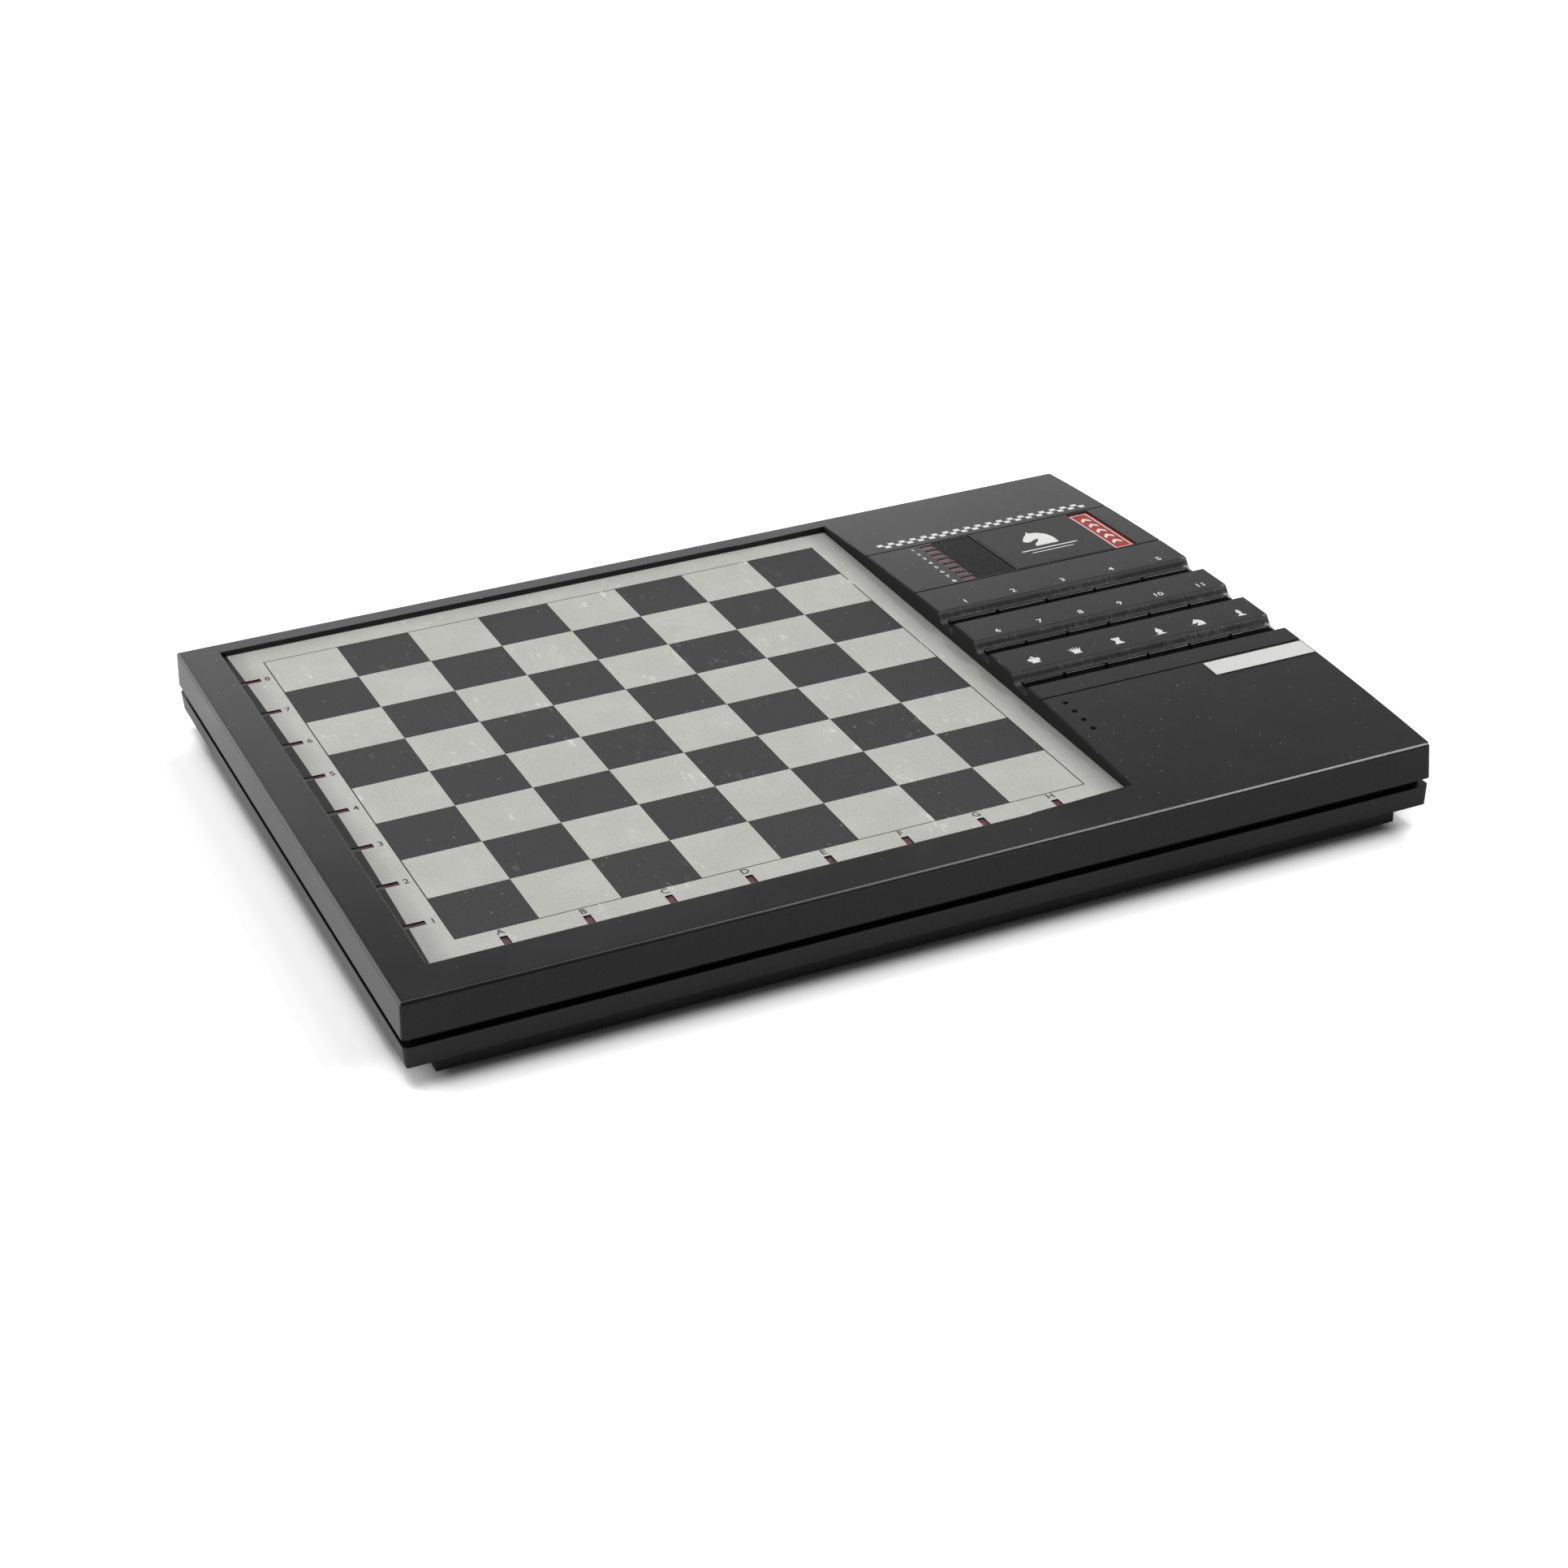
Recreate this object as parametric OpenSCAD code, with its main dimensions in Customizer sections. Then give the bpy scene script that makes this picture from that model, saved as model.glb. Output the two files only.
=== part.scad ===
// Electronic chess computer: a low desk machine with a pressure-sensitive board on the left
// and a gently humped console on the right.
// Origin: centre of the footprint, on the table. +X to the console side, +Y to the back, +Z up.

/* [Board] */
// Side of one square of the playing field
square = 28; // [24:0.5:32]
// Plain panel left of the field
margin_left = 13.5; // [12:0.5:20]
// Plain panel right of the field
margin_right = 11; // [8:0.5:20]
// Plain panel in front of the field
margin_front = 13.4; // [12:0.2:20]
// Plain panel behind the field
margin_back = 12; // [8:0.5:20]
// Thickness of the printed panel
overlay_t = 0.5; // [0.4:0.1:0.8]
// How far the panel runs on under the rim
overlay_lap = 2.4; // [1.5:0.1:2.6]
// Thickness of each membrane layer
film_t = 0.25; // [0.2:0.05:0.4]
// Thickness of the stiff board under the membrane
support_t = 2.4; // [2:0.1:3]
// Width of a window slot in the panel
slot_w = 2.7; // [2:0.1:4]
// Distance from the field to the near end of a window slot
slot_start = 5.3; // [4.8:0.1:7]

/* [Case] */
// Width of the left rim
rim_left = 14.8; // [14:0.2:24]
// Depth of the front rim
rim_front = 18.7; // [16:0.1:26]
// Depth of the back rim
rim_back = 8.4; // [7:0.2:20]
// Height of the rim above the playing surface
rim_h = 2; // [1.6:0.1:4]
// Height of the upper band
upper_band_h = 13; // [12.5:0.5:20]
// Height of the shadow groove between the bands
groove_h = 3; // [2:0.5:5]
// Depth of the shadow groove
groove_in = 3; // [2.8:0.1:4]
// Height of the lower band
lower_band_h = 8; // [8:0.5:14]
// Height of the belly below the lower band
belly_h = 6; // [5:0.5:12]
// Inset of the belly at the left and right
belly_in_x = 11; // [8:0.5:20]
// Inset of the belly at the front and back
belly_in_y = 5; // [4:0.5:6]
// How much the upper band widens from top to bottom, each side
band_draft = 0.7; // [0.3:0.1:1.5]
// Rounding of the rim's outer edges
edge_r = 1.5; // [0.5:0.1:2]
// Wall of the upper case
wall = 2.6; // [2:0.1:2.8]
// Wall of the console's top
top_t = 2.5; // [2:0.1:3]
// Floor of the lower case
floor_t = 2.4; // [2.2:0.1:3]
// Height of the lower case's lip inside the upper case
lip_h = 6; // [5:0.5:7]
// Thickness of that lip
lip_t = 2; // [1.5:0.1:2.2]

/* [Console] */
// Width of the console
console_w = 106.9; // [104:0.1:120]
// Rise of the hump above the rim
hump_h = 5.5; // [4.5:0.1:8]
// Rounding of the console's edge beside the board
console_edge_r = 1; // [0.4:0.1:1.4]
// Length over which the front and back rims rise to the console
rim_blend = 38; // [20:1:60]
// Depth of the plain panel behind the rear seam
title_d = 48.4; // [40:0.1:60]
// Depth of the window and cover area between the first two seams
insert_d = 43.1; // [43:0.1:50]
// Depth of the strip between the second seam and the first key row
lead_strip_d = 20.1; // [12:0.1:26]
// Distance from one key row to the next
row_pitch = 29.4; // [26:0.1:34]
// Width of a key trough, front to back
trough_w = 12.4; // [11:0.1:14]
// Depth of the strip in front of the last key row
last_strip_d = 10.3; // [6:0.1:16]
// Width and depth of a seam groove
seam = 0.8; // [0.5:0.1:1.2]

/* [Keys] */
// Depth of a trough at its two ends
end_depth = 3.95; // [3:0.05:4.2]
// Depth of a trough along the keys
trough_depth = 6; // [5:0.1:6.4]
// Slope of the finger scoop behind the keys
scoop_angle = 52; // [45:1:60]
// Radius at the foot of the finger scoop
scoop_r = 4.5; // [3:0.1:6]
// Distance from the strip's edge to the back of the keys
key_set_back = 2.9; // [2.7:0.1:3.2]
// Depth of a key's top below the console
key_drop = 2.8; // [2.4:0.1:3]
// Width of a key's flat top, front to back
key_top_w = 1.4; // [1:0.1:2]
// Rounding of a key's front top edge
key_edge_r = 0.6; // [0.2:0.1:0.9]
// Thickness of a key's stem, front to back
key_stem_t = 2.5; // [2.2:0.1:3]
// Gap between neighbouring keys
key_gap = 1.2; // [0.5:0.1:1.6]
// Travel of a key
key_travel = 1; // [0.6:0.1:1.2]
// Clearance round a key's stem
key_clear = 0.25; // [0.2:0.05:0.4]
// Length of the trough's floor left at the board end of a key row
key_inset_left = 3; // [3:0.1:6]
// Length of the trough's rim left at the outer end of a key row
key_inset_right = 1.3; // [1.2:0.1:4]

/* [Power] */
// Diameter of a battery cell
cell_d = 14.3; // [13.5:0.1:14.5]
// Length of a battery cell
cell_l = 50; // [49:0.1:50.5]
// Distance from one cell to the next
cell_pitch = 15; // [14.8:0.1:15.2]
// Room for the contacts at each end of a cell
contact_room = 3; // [2:0.1:4]
// Bore of the power socket
jack_bore = 3.6; // [3.4:0.1:3.8]

/* [Feet and fixings] */
// Height of a foot below the belly
foot_h = 1.5; // [1:0.1:3]
// Diameter of a foot
foot_d = 12; // [8:0.5:14]
// Radius of the case's upright corners at the bottom of each band
corner_r = 1.7; // [1.3:0.1:4]
// Diameter of a screw's thread
screw_d = 2.5; // [2:0.1:2.6]
// Diameter of a screw's head
screw_head_d = 4.6; // [4:0.1:4.8]
// Diameter of a boss
boss_d = 5.8; // [5.4:0.1:6]

/* [Hidden] */
$fn = 48;
n_squares = 8;
keys_in_row = [5, 6, 6];
fit = 0.3;              // loose fit between pieces of the case
thread_clear = 0.1;     // a screw's thread is this much under its pilot hole
sheet_gap = 0.1;        // gap beside a thin sheet in its recess
led_w = 2;
led_l = 5;
pcb_t = 1.6;

// heights, from the table up
belly_z = foot_h;
floor_z = belly_z + floor_t;
band_z = belly_z + belly_h;
groove_z = band_z + lower_band_h;
skirt_z = groove_z + groove_h;
rim_z = skirt_z + upper_band_h;
board_z = rim_z - rim_h;
overlay_z = board_z - overlay_t;
film_z = overlay_z - film_t;
support_z = overlay_z - 3 * film_t - support_t;
rim_under_z = board_z + fit;
deck_z = board_z - 0.8;           // underside of the key troughs
split_z = skirt_z + 1.5;          // where the upper and lower bosses meet

// plan
field = n_squares * square;
recess_w = margin_left + field + margin_right;
recess_d = margin_front + field + margin_back;
case_top_w = rim_left + recess_w + console_w;
case_top_d = rim_front + recess_d + rim_back;
hump_half = case_top_d / 2 - edge_r;
hump_r = (pow(hump_half, 2) + pow(hump_h, 2)) / (2 * hump_h);
case_w = case_top_w + 2 * band_draft;
case_d = case_top_d + 2 * band_draft;
recess_x0 = -case_top_w / 2 + rim_left;
recess_x1 = recess_x0 + recess_w;
recess_y0 = -case_top_d / 2 + rim_front;
recess_y1 = recess_y0 + recess_d;
field_x0 = recess_x0 + margin_left;
field_y0 = recess_y0 + margin_front;
console_x1 = case_top_w / 2;
band_phi = atan(band_draft / upper_band_h);
lower_step = 0.2;                 // lower band stands this far inside the upper one
lower_draft = 0.5;
small_r = 0.5;                    // rounding of the opening's and the strips' edges
inner_x = case_w / 2 - wall;      // inside faces of the upper case
inner_y = case_d / 2 - wall;
lip_x = case_w / 2 - lower_step - groove_in;
lip_y = case_d / 2 - lower_step - groove_in;
belly_x = case_w / 2 - belly_in_x;
belly_y = case_d / 2 - belly_in_y;

// console
seam1_y = case_top_d / 2 - title_d;
seam2_y = seam1_y - insert_d;
row_y = [for (r = [0:2]) seam2_y - lead_strip_d - r * row_pitch];
seam3_y = row_y[2] - trough_w - last_strip_d;
key_x0 = recess_x1 + key_inset_left;
key_x1 = console_x1 - key_inset_right;
flange_z = deck_z - fit;          // top of the keys' flanges
flange_t = 1.5;
flange_back = 1.2;                // from the strip's edge
flange_front = 7.1;
plunger_d = 3;
plunger_l = 1.5;
dome_h = 3.6;
dome_d = 8;
mat_t = 1;
dome_top_z = flange_z - flange_t - plunger_l - fit;
key_board_z = dome_top_z - dome_h - mat_t - pcb_t;

// insert area, measured from the console's left edge
window_x = recess_x1 + 22.1;
window_w = 5.4;
window_l = 3.4;
window_pitch = 5.15;
rib_x = recess_x1 + 27.9;
rib_w = 16.6;
rib_count = 15;
cover_x = rib_x + rib_w + 0.8;
cover_w = 42.2;
accent_x = cover_x + cover_w + 0.4;
accent_w = 9.6;
insert_y0 = seam2_y + 1;
insert_y1 = seam1_y - 1;
insert_t = 1.2;
name_label_w = 41;
name_label_d = 9.6;
label_t = 0.2;
label_gap = 0.03;
accent_depth = 1;

// sounder and its four holes
hole_d = 2.1;
hole_pitch = 6.7;
hole_x = recess_x1 + 6.8;
sounder_r = 13.5;
sounder_x = hole_x + hole_d / 2 + 1 + 1.5 + sounder_r;
sounder_y = seam3_y - 5.8 - 1.5 * hole_pitch;
sounder_t = 0.5;

// power
n_cells = 6;
bay_w = n_cells * cell_pitch + 1;
bay_l = cell_l + 2 * contact_room + 0.5;
bay_wall = 1.5;
bay_x1 = belly_x - 3;
bay_x0 = bay_x1 - bay_w;
bay_y0 = -belly_y + 19.5;
bay_y1 = bay_y0 + bay_l;
door_lip = 1.3;                   // tongue of the door beyond its opening
door_t = floor_t - 0.1;
bay_top_z = floor_z + 0.2 + cell_d + fit;
jack_size = [8, 14, 6];
jack_nose = jack_bore + 2.2;
jack_set_in = 1;                  // its mouth behind the case's face
leaf_t = 0.4;

// what stands on the main board: x and y from its corner, then sizes
chip_w = 14;
chip_h = 3.4;
chip_lift = 0.8;
leg_pitch = 2.54;
leg_t = 0.5;
chip_x = 10;
chip_y = [12, 36];
small_chip_l = 28;
parts_y = 60;
cap_d = 8;
cap_l = 8.5;
cap_pitch = 13;
crystal = [11, 4.5, 3.5];
regulator = [10, 4.5, 8];

// sets of places
led_inset = slot_start + 2.6;     // windows' middle, from the field
window_plan = 11.4;               // width of a window strip
left_boss_x = -lip_x + lip_t + boss_d / 2 + 0.2;
front_boss_y = -lip_y + lip_t + boss_d / 2 + 1.5;
back_boss_y = -front_boss_y;
case_bosses = [
    [left_boss_x, front_boss_y], [left_boss_x, 0], [left_boss_x, back_boss_y],
    [field_x0 + field / 3, front_boss_y], [field_x0 + field - 15, front_boss_y],
    [-left_boss_x, front_boss_y], [-left_boss_x, back_boss_y], [recess_x1 + 9, back_boss_y]];
board_bosses = [for (y = [seam2_y - lead_strip_d / 2, row_y[2] - trough_w - last_strip_d / 2 + 0.5])
    for (x = [key_x0 + 5, lip_x - lip_t - boss_d / 2 - 0.6]) [x, y]];
posts = [for (x = [field_x0 + 35, field_x0 + field / 2, field_x0 + field - 35])
    for (y = [field_y0 + 35, field_y0 + field / 2, field_y0 + field - 35]) [x, y]];
feet = [for (x = [-belly_x + 14, 20, belly_x - 10]) for (s = [-1, 1]) [x, s * (belly_y - foot_d / 2 - 3)]];
led_posts_y = [field_y0 + 10, field_y0 + field / 2, field_y0 + field - 10];
led_posts_x = [field_x0 + 10, field_x0 + field / 2, field_x0 + field - 10];
led_board_z = film_z + film_t - 1.6 - 0.2 - led_l - 0.3;
main_board_z = floor_z + 2.7;
main_board_y0 = seam1_y - 38;
main_board_x0 = recess_x1 + 10;
main_board = [main_board_x0, main_board_y0, belly_x - floor_t - 2.2 - main_board_x0,
    back_boss_y - boss_d / 2 - 0.9 - main_board_y0];
jack_x = main_board_x0 + main_board[2] - 22;
jack_z = main_board_z + pcb_t + jack_size[2] / 2;
main_holes = [for (x = [4, main_board[2] - 4]) for (y = [4, main_board[3] - 4])
    [main_board[0] + x, main_board[1] + y]];

// height of the console's top at a given y
function hump_z(y) = rim_z + hump_h - hump_r + sqrt(hump_r * hump_r - y * y);
function key_pitch(row) = (key_x1 - key_x0 + key_gap) / keys_in_row[row];

// a box from its low corner to its high corner
module block(low, high) {
    translate(low) cube(high - low);
}

// 2D outline in X and Z, run along Y from y0 to y1
module along_y(y0, y1) {
    translate([0, y1, 0]) rotate([90, 0, 0]) linear_extrude(y1 - y0) children();
}

// 2D outline in Y and Z, run along X from x0 to x1
module along_x(x0, x1) {
    translate([x0, 0, 0]) rotate([90, 0, 90]) linear_extrude(x1 - x0) children();
}

// what a rounding of radius r takes off a top corner; the side leans out by phi going down
module corner_waste(r, phi) {
    c = r * (1 - sin(phi)) / cos(phi);
    difference() {
        polygon([[-1, 1], [c, 1], [c, -r], [-c * sin(phi), -c * cos(phi)], [-1, -c]]);
        translate([c, -r]) circle(r);
        polygon([[-c * sin(phi), -c * cos(phi)], [c, -r], [-2, -r - 2], [-2, -c * cos(phi) - 0.001]]);
    }
}

// side view of the upper case's outside: half is half the top width, top is its height
module upper_side(half, top) {
    difference() {
        polygon([[-half - band_draft, skirt_z], [half + band_draft, skirt_z], [half, rim_z], [half, top],
            [-half, top], [-half, rim_z]]);
        if (top == rim_z) for (m = [0, 1]) mirror([m, 0]) translate([-half, top]) corner_waste(edge_r, band_phi);
    }
}

// round bar whose top follows the hump, lowered by drop
module hump_bar(drop, x0, x1) {
    translate([x0, 0, rim_z + hump_h - hump_r]) rotate([0, 90, 0])
        cylinder(r = hump_r - drop, h = x1 - x0, $fn = 1440);
}

// a flat piece that follows the hump: between two depths below it
module hump_sheet(x0, x1, y0, y1, top_drop, bottom_drop) {
    difference() {
        intersection() {
            block([x0, y0, rim_z - 8], [x1, y1, rim_z + hump_h + 2]);
            hump_bar(top_drop, x0 - 1, x1 + 1);
        }
        hump_bar(bottom_drop, x0 - 1, x1 + 1);
    }
}

// section of a trough's end: scooped at the back, flat below, upright at the front
module trough_section() {
    foot = -end_depth / tan(scoop_angle);
    t = scoop_r * tan(scoop_angle / 2);
    tip = [foot + t * cos(scoop_angle), -end_depth + t * sin(scoop_angle)];
    e = small_r * tan(scoop_angle / 2);
    difference() {
        polygon([[e, 1], [e, -small_r], [-e * cos(scoop_angle), -e * sin(scoop_angle)], [-1, 1]]);
        translate([e, -small_r]) circle(small_r);
    }
    translate([-trough_w, 0]) mirror([1, 0]) difference() {
        polygon([[small_r, 1], [small_r, -small_r], [0, -small_r], [-1, 1]]);
        translate([small_r, -small_r]) circle(small_r);
    }
    difference() {
        polygon([[2 / tan(scoop_angle), 2], [foot, -end_depth], [-trough_w, -end_depth], [-trough_w, 2]]);
        difference() {
            polygon([[foot + 0.5, -end_depth - 0.5], tip, [foot - t, -end_depth + scoop_r],
                [foot - t, -end_depth - 0.5]]);
            translate([foot - t, -end_depth + scoop_r]) circle(scoop_r, $fn = 96);
        }
    }
}

// everything that is cut out of the console for one key row
module trough_cut(row) {
    y = row_y[row];
    z = hump_z(y);
    slot_back = y - key_set_back + key_clear;
    slot_front = y - key_set_back - key_stem_t - key_clear;
    translate([0, y, z]) along_x(recess_x1 - 1, console_x1 + 2) trough_section();
    block([key_x0 - key_clear, y - trough_w, z - trough_depth], [key_x1 + key_clear, slot_back, z + 2]);
    block([key_x0 - key_clear, slot_front, deck_z - 1], [key_x1 + key_clear, slot_back, z]);
    // room for the flanges where they run into the side wall
    block([key_x1 - 5, y - flange_front - fit, flange_z - flange_t - key_travel - fit],
        [key_x1 + key_clear, y - flange_back + fit, deck_z]);
}

// takes the four upright corners off its children; the faces lean in by lean for each mm up
module rounded_corners(x, y, z, h, lean) difference() {
    children();
    for (i = [0, 1]) for (j = [0, 1]) mirror([i, 0, 0]) mirror([0, j, 0]) difference() {
        translate([x - corner_r, y - corner_r, z]) cube([20, 20, h]);
        translate([x - corner_r, y - corner_r, z]) cylinder(r1 = corner_r, r2 = corner_r - lean * h, h = h);
    }
}

module tube(d_out, d_in, h) {
    difference() {
        cylinder(d = d_out, h = h);
        translate([0, 0, -1]) cylinder(d = d_in, h = h + 2);
    }
}

module upper_case() color([0.13, 0.13, 0.135]) {
    difference() {
        union() {
            difference() {
                rounded_corners(case_w / 2, case_d / 2, skirt_z, upper_band_h + hump_h, band_draft / upper_band_h)
                    upper_outside();
                upper_inside();
            }
            // bosses for the case screws
            for (p = case_bosses) translate([p[0], p[1], split_z]) cylinder(d = boss_d, h = boss_top(p) - split_z);
            // bosses for the keypad board
            for (p = board_bosses) translate([p[0], p[1], key_board_z + pcb_t])
                cylinder(d = boss_d, h = hump_z(p[1]) - top_t + 0.5 - key_board_z - pcb_t);
            // seat and wall that hold the sounder
            translate([sounder_x, sounder_y, 0]) sounder_seat();
        }
        for (p = case_bosses) translate([p[0], p[1], split_z - 1])
            cylinder(d = screw_d - 0.4, h = boss_top(p) - split_z);
        for (p = board_bosses) translate([p[0], p[1], key_board_z + pcb_t - 1]) cylinder(d = screw_d - 0.4, h = 6.5);
        for (r = [0:2]) trough_cut(r);
        for (y = [seam1_y, seam2_y, seam3_y])
            block([recess_x1 - 1, y - seam / 2, hump_z(y) - seam], [console_x1 + 2, y + seam / 2, rim_z + 20]);
        for (i = [0:3]) translate([hole_x, sounder_y + (i - 1.5) * hole_pitch, sounder_z() + sounder_t + 0.2])
            cylinder(d = hole_d, h = 10);
        for (i = [0:n_squares - 1]) translate([window_x, status_y(i), deck_z + 1])
            cube([window_w, window_l, 20]);
        recess_for(rib_x, rib_w, insert_t + sheet_gap);
        recess_for(cover_x, cover_w, insert_t + sheet_gap);
        recess_for(accent_x, accent_w, accent_depth);
        top_edges();
    }
}

// rounding along the top edges of the board's opening
module top_edges() {
    translate([recess_x0, 0, rim_z]) along_y(recess_y0, recess_y1) mirror([1, 0]) corner_waste(small_r, 0);
    translate([0, recess_y0, rim_z]) along_x(recess_x0, recess_x1 - rim_blend) mirror([1, 0])
        corner_waste(small_r, 0);
    translate([0, recess_y1, rim_z]) along_x(recess_x0, recess_x1 - rim_blend) corner_waste(small_r, 0);
    intersection() {
        hump_edge(recess_x1) mirror([1, 0]) corner_waste(console_edge_r, 0);
        block([recess_x1 - 5, recess_y0, rim_z - 10], [recess_x1 + 5, recess_y1, rim_z + 20]);
    }
}

// rim that rises in X to the console's height at y_in, in front of or behind the board
module rim_ramp(y_in) {
    rise = hump_z(y_in) - rim_z;
    side = sign(y_in);
    intersection() {
        along_y(min(y_in - side, side * hump_half), max(y_in - side, side * hump_half))
            polygon([[recess_x1 - rim_blend, rim_z], [recess_x1, rim_z + rise], [recess_x1 + 2, rim_z + rise],
                [recess_x1 + 2, rim_z - 4], [recess_x1 - rim_blend, rim_z - 4]]);
        hump_bar(0, 0, case_w);
    }
}

// outside of the upper case, still solid
module upper_outside() {
    half_d = case_top_d / 2;
    rim_ramp(recess_y0);
    rim_ramp(recess_y1);
    intersection() {
        along_y(-case_d, case_d) upper_side(case_top_w / 2, rim_z);
        along_x(-case_w, case_w) upper_side(half_d, rim_z);
    }
    intersection() {
        along_y(-case_d, case_d) upper_side(case_top_w / 2, rim_z + hump_h + 1);
        block([recess_x1, -hump_half, skirt_z], [case_w, hump_half, rim_z + 20]);
        hump_bar(0, 0, case_w);
    }
}

// ring that follows the hump at x, for a rounding along its edge
module hump_edge(x) {
    translate([x, 0, rim_z + hump_h - hump_r]) rotate([0, 90, 0]) rotate_extrude($fn = 1440)
        translate([hump_r, 0]) rotate(-90) children();
}

// hollow of the upper case, and the opening over the board
module upper_inside() {
    block([-inner_x, -inner_y, skirt_z - 1], [inner_x, inner_y, deck_z]);
    block([-inner_x, -inner_y, skirt_z - 1],
        [recess_x1 + overlay_lap + fit, inner_y, rim_under_z]);
    block([recess_x0, recess_y0, skirt_z], [recess_x1, recess_y1, rim_z + 20]);
    difference() {
        intersection() {
            block([key_x0, -inner_y, skirt_z], [key_x1 - 1.2, inner_y, rim_z + 20]);
            hump_bar(top_t, 0, case_w);
        }
        for (r = [0:2]) block([0, row_y[r] - trough_w - 1.5, 0], [case_w, row_y[r] + 1.5, rim_z + 20]);
    }
}

function boss_top(p) = p[0] < recess_x1 ? rim_under_z + 0.5 : hump_z(p[1]) - top_t + 0.3;
function status_y(i) = seam1_y - 2.3 - window_l - i * window_pitch;
function sounder_z() = hump_z(sounder_y) - top_t - 1.6 - sounder_t;

module sounder_seat() {
    up = hump_z(sounder_y) - top_t + 0.3;
    translate([0, 0, sounder_z() + sounder_t])
        tube(2 * sounder_r + 0.6, 2 * sounder_r - 2, up - sounder_z() - sounder_t);
    translate([0, 0, sounder_z() - 0.6]) tube(2 * sounder_r + 3, 2 * sounder_r + 0.6, up - sounder_z() + 0.6);
}

// shallow recess in the insert area
module recess_for(x, w, depth) {
    difference() {
        block([x, insert_y0, rim_z - 8], [x + w, insert_y1, rim_z + 20]);
        hump_bar(depth, x - 1, x + w + 1);
    }
}

// side view of the lower case's outside; half is half the outer size, belly half the belly's
module lower_side(half, belly) {
    top = half - lower_step;
    bottom = top - lower_draft;
    phi = atan(lower_draft / lower_band_h);
    difference() {
        polygon([[-belly, belly_z], [belly, belly_z], [belly, band_z], [bottom, band_z], [top, groove_z],
            [top - groove_in, groove_z], [top - groove_in, groove_z + lip_h], [groove_in - top, groove_z + lip_h],
            [groove_in - top, groove_z], [-top, groove_z], [-bottom, band_z], [-belly, band_z]]);
        for (m = [0, 1]) mirror([m, 0]) translate([-bottom, band_z]) mirror([0, 1]) corner_waste(1.2, phi);
    }
}

module lower_hollow(half, belly) {
    top = half - lower_step;
    face = top - lower_draft - floor_t;
    step = top - groove_in - lip_t;
    polygon([[-belly + floor_t, floor_z], [belly - floor_t, floor_z], [belly - floor_t, band_z + floor_t],
        [face, band_z + floor_t], [face, groove_z - floor_t], [step, groove_z - floor_t],
        [step, groove_z + lip_h + 1], [-step, groove_z + lip_h + 1], [-step, groove_z - floor_t],
        [-face, groove_z - floor_t], [-face, band_z + floor_t], [floor_t - belly, band_z + floor_t]]);
}

module lower_case() color([0.11, 0.11, 0.115]) {
    difference() {
        union() {
            difference() {
                rounded_corners(case_w / 2 - lower_step - lower_draft, case_d / 2 - lower_step - lower_draft, band_z,
                    lower_band_h, -lower_draft / lower_band_h) intersection() {
                    along_y(-case_d, case_d) lower_side(case_w / 2, belly_x);
                    along_x(-case_w, case_w) lower_side(case_d / 2, belly_y);
                }
                intersection() {
                    along_y(-case_d, case_d) lower_hollow(case_w / 2, belly_x);
                    along_x(-case_w, case_w) lower_hollow(case_d / 2, belly_y);
                }
            }
            for (p = case_bosses) translate([p[0], p[1], boss_foot(p)])
                cylinder(d = boss_d + 1, h = split_z - boss_foot(p));
            for (p = posts) post(p, 8, support_z);
            for (y = led_posts_y) post([field_x0 - led_inset, y], 6, led_board_z);
            for (x = led_posts_x) post([x, field_y0 - led_inset], 6, led_board_z);
            for (p = main_holes) post(p, 6, main_board_z);
            battery_box();
        }
        // screw ways, counterbored from below
        for (p = case_bosses) translate([p[0], p[1], 0]) {
            cylinder(d = screw_d + 0.5, h = split_z + 1);
            cylinder(d = screw_head_d + 0.6, h = split_z - 4);
        }
        for (p = main_holes) translate([p[0], p[1], floor_z]) cylinder(d = screw_d - 0.4, h = 20);
        for (p = feet) translate([p[0], p[1], 0]) cylinder(d = foot_d + 0.2, h = belly_z + 0.5);
        battery_hollow();
        // opening for the power socket
        translate([jack_x, belly_y - floor_t - 1, jack_z]) rotate([-90, 0, 0]) cylinder(d = jack_nose + 0.4, h = 20);
    }
}

// bosses outside the belly start on the lower band's floor
function boss_foot(p) = abs(p[0]) > belly_x - boss_d ? band_z + 0.5 : floor_z - 0.5;

module post(p, d, top) {
    translate([p[0], p[1], floor_z - 0.5]) cylinder(d = d, h = top - floor_z + 0.5);
}

// box over the battery bay
module battery_box() {
    block([bay_x0 - bay_wall, bay_y0 - bay_wall, floor_z - 0.5],
        [bay_x1 + bay_wall, bay_y1 + bay_wall, bay_top_z + bay_wall]);
}

// room for the cells, the door's opening and the grooves for its tongues
module battery_hollow() {
    block([bay_x0, bay_y0, floor_z - 1], [bay_x1, bay_y1, bay_top_z]);
    block([bay_x0 - 1.3, bay_y0 - 0.2, belly_z - 1], [belly_x + 1, bay_y1 + 0.2, floor_z]);
    block([bay_x0 - 1.3, bay_y0 - 0.2 - door_lip - 0.1, belly_z + 1.2],
        [belly_x + 1, bay_y1 + 0.3 + door_lip, floor_z]);
}

module battery_door() color([0.12, 0.12, 0.125]) {
    difference() {
        union() {
            block([bay_x0 - 1, bay_y0, belly_z], [belly_x, bay_y1, belly_z + door_t]);
            block([bay_x0 - 1, bay_y0 - door_lip, belly_z + 1.3],
                [belly_x, bay_y1 + door_lip, belly_z + door_t]);
        }
        // thumb grip
        for (i = [0:5]) translate([belly_x - 22 + i * 2.4, (bay_y0 + bay_y1) / 2 - 12, belly_z - 1])
            cube([1.2, 24, 1.6]);
    }
}

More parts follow.
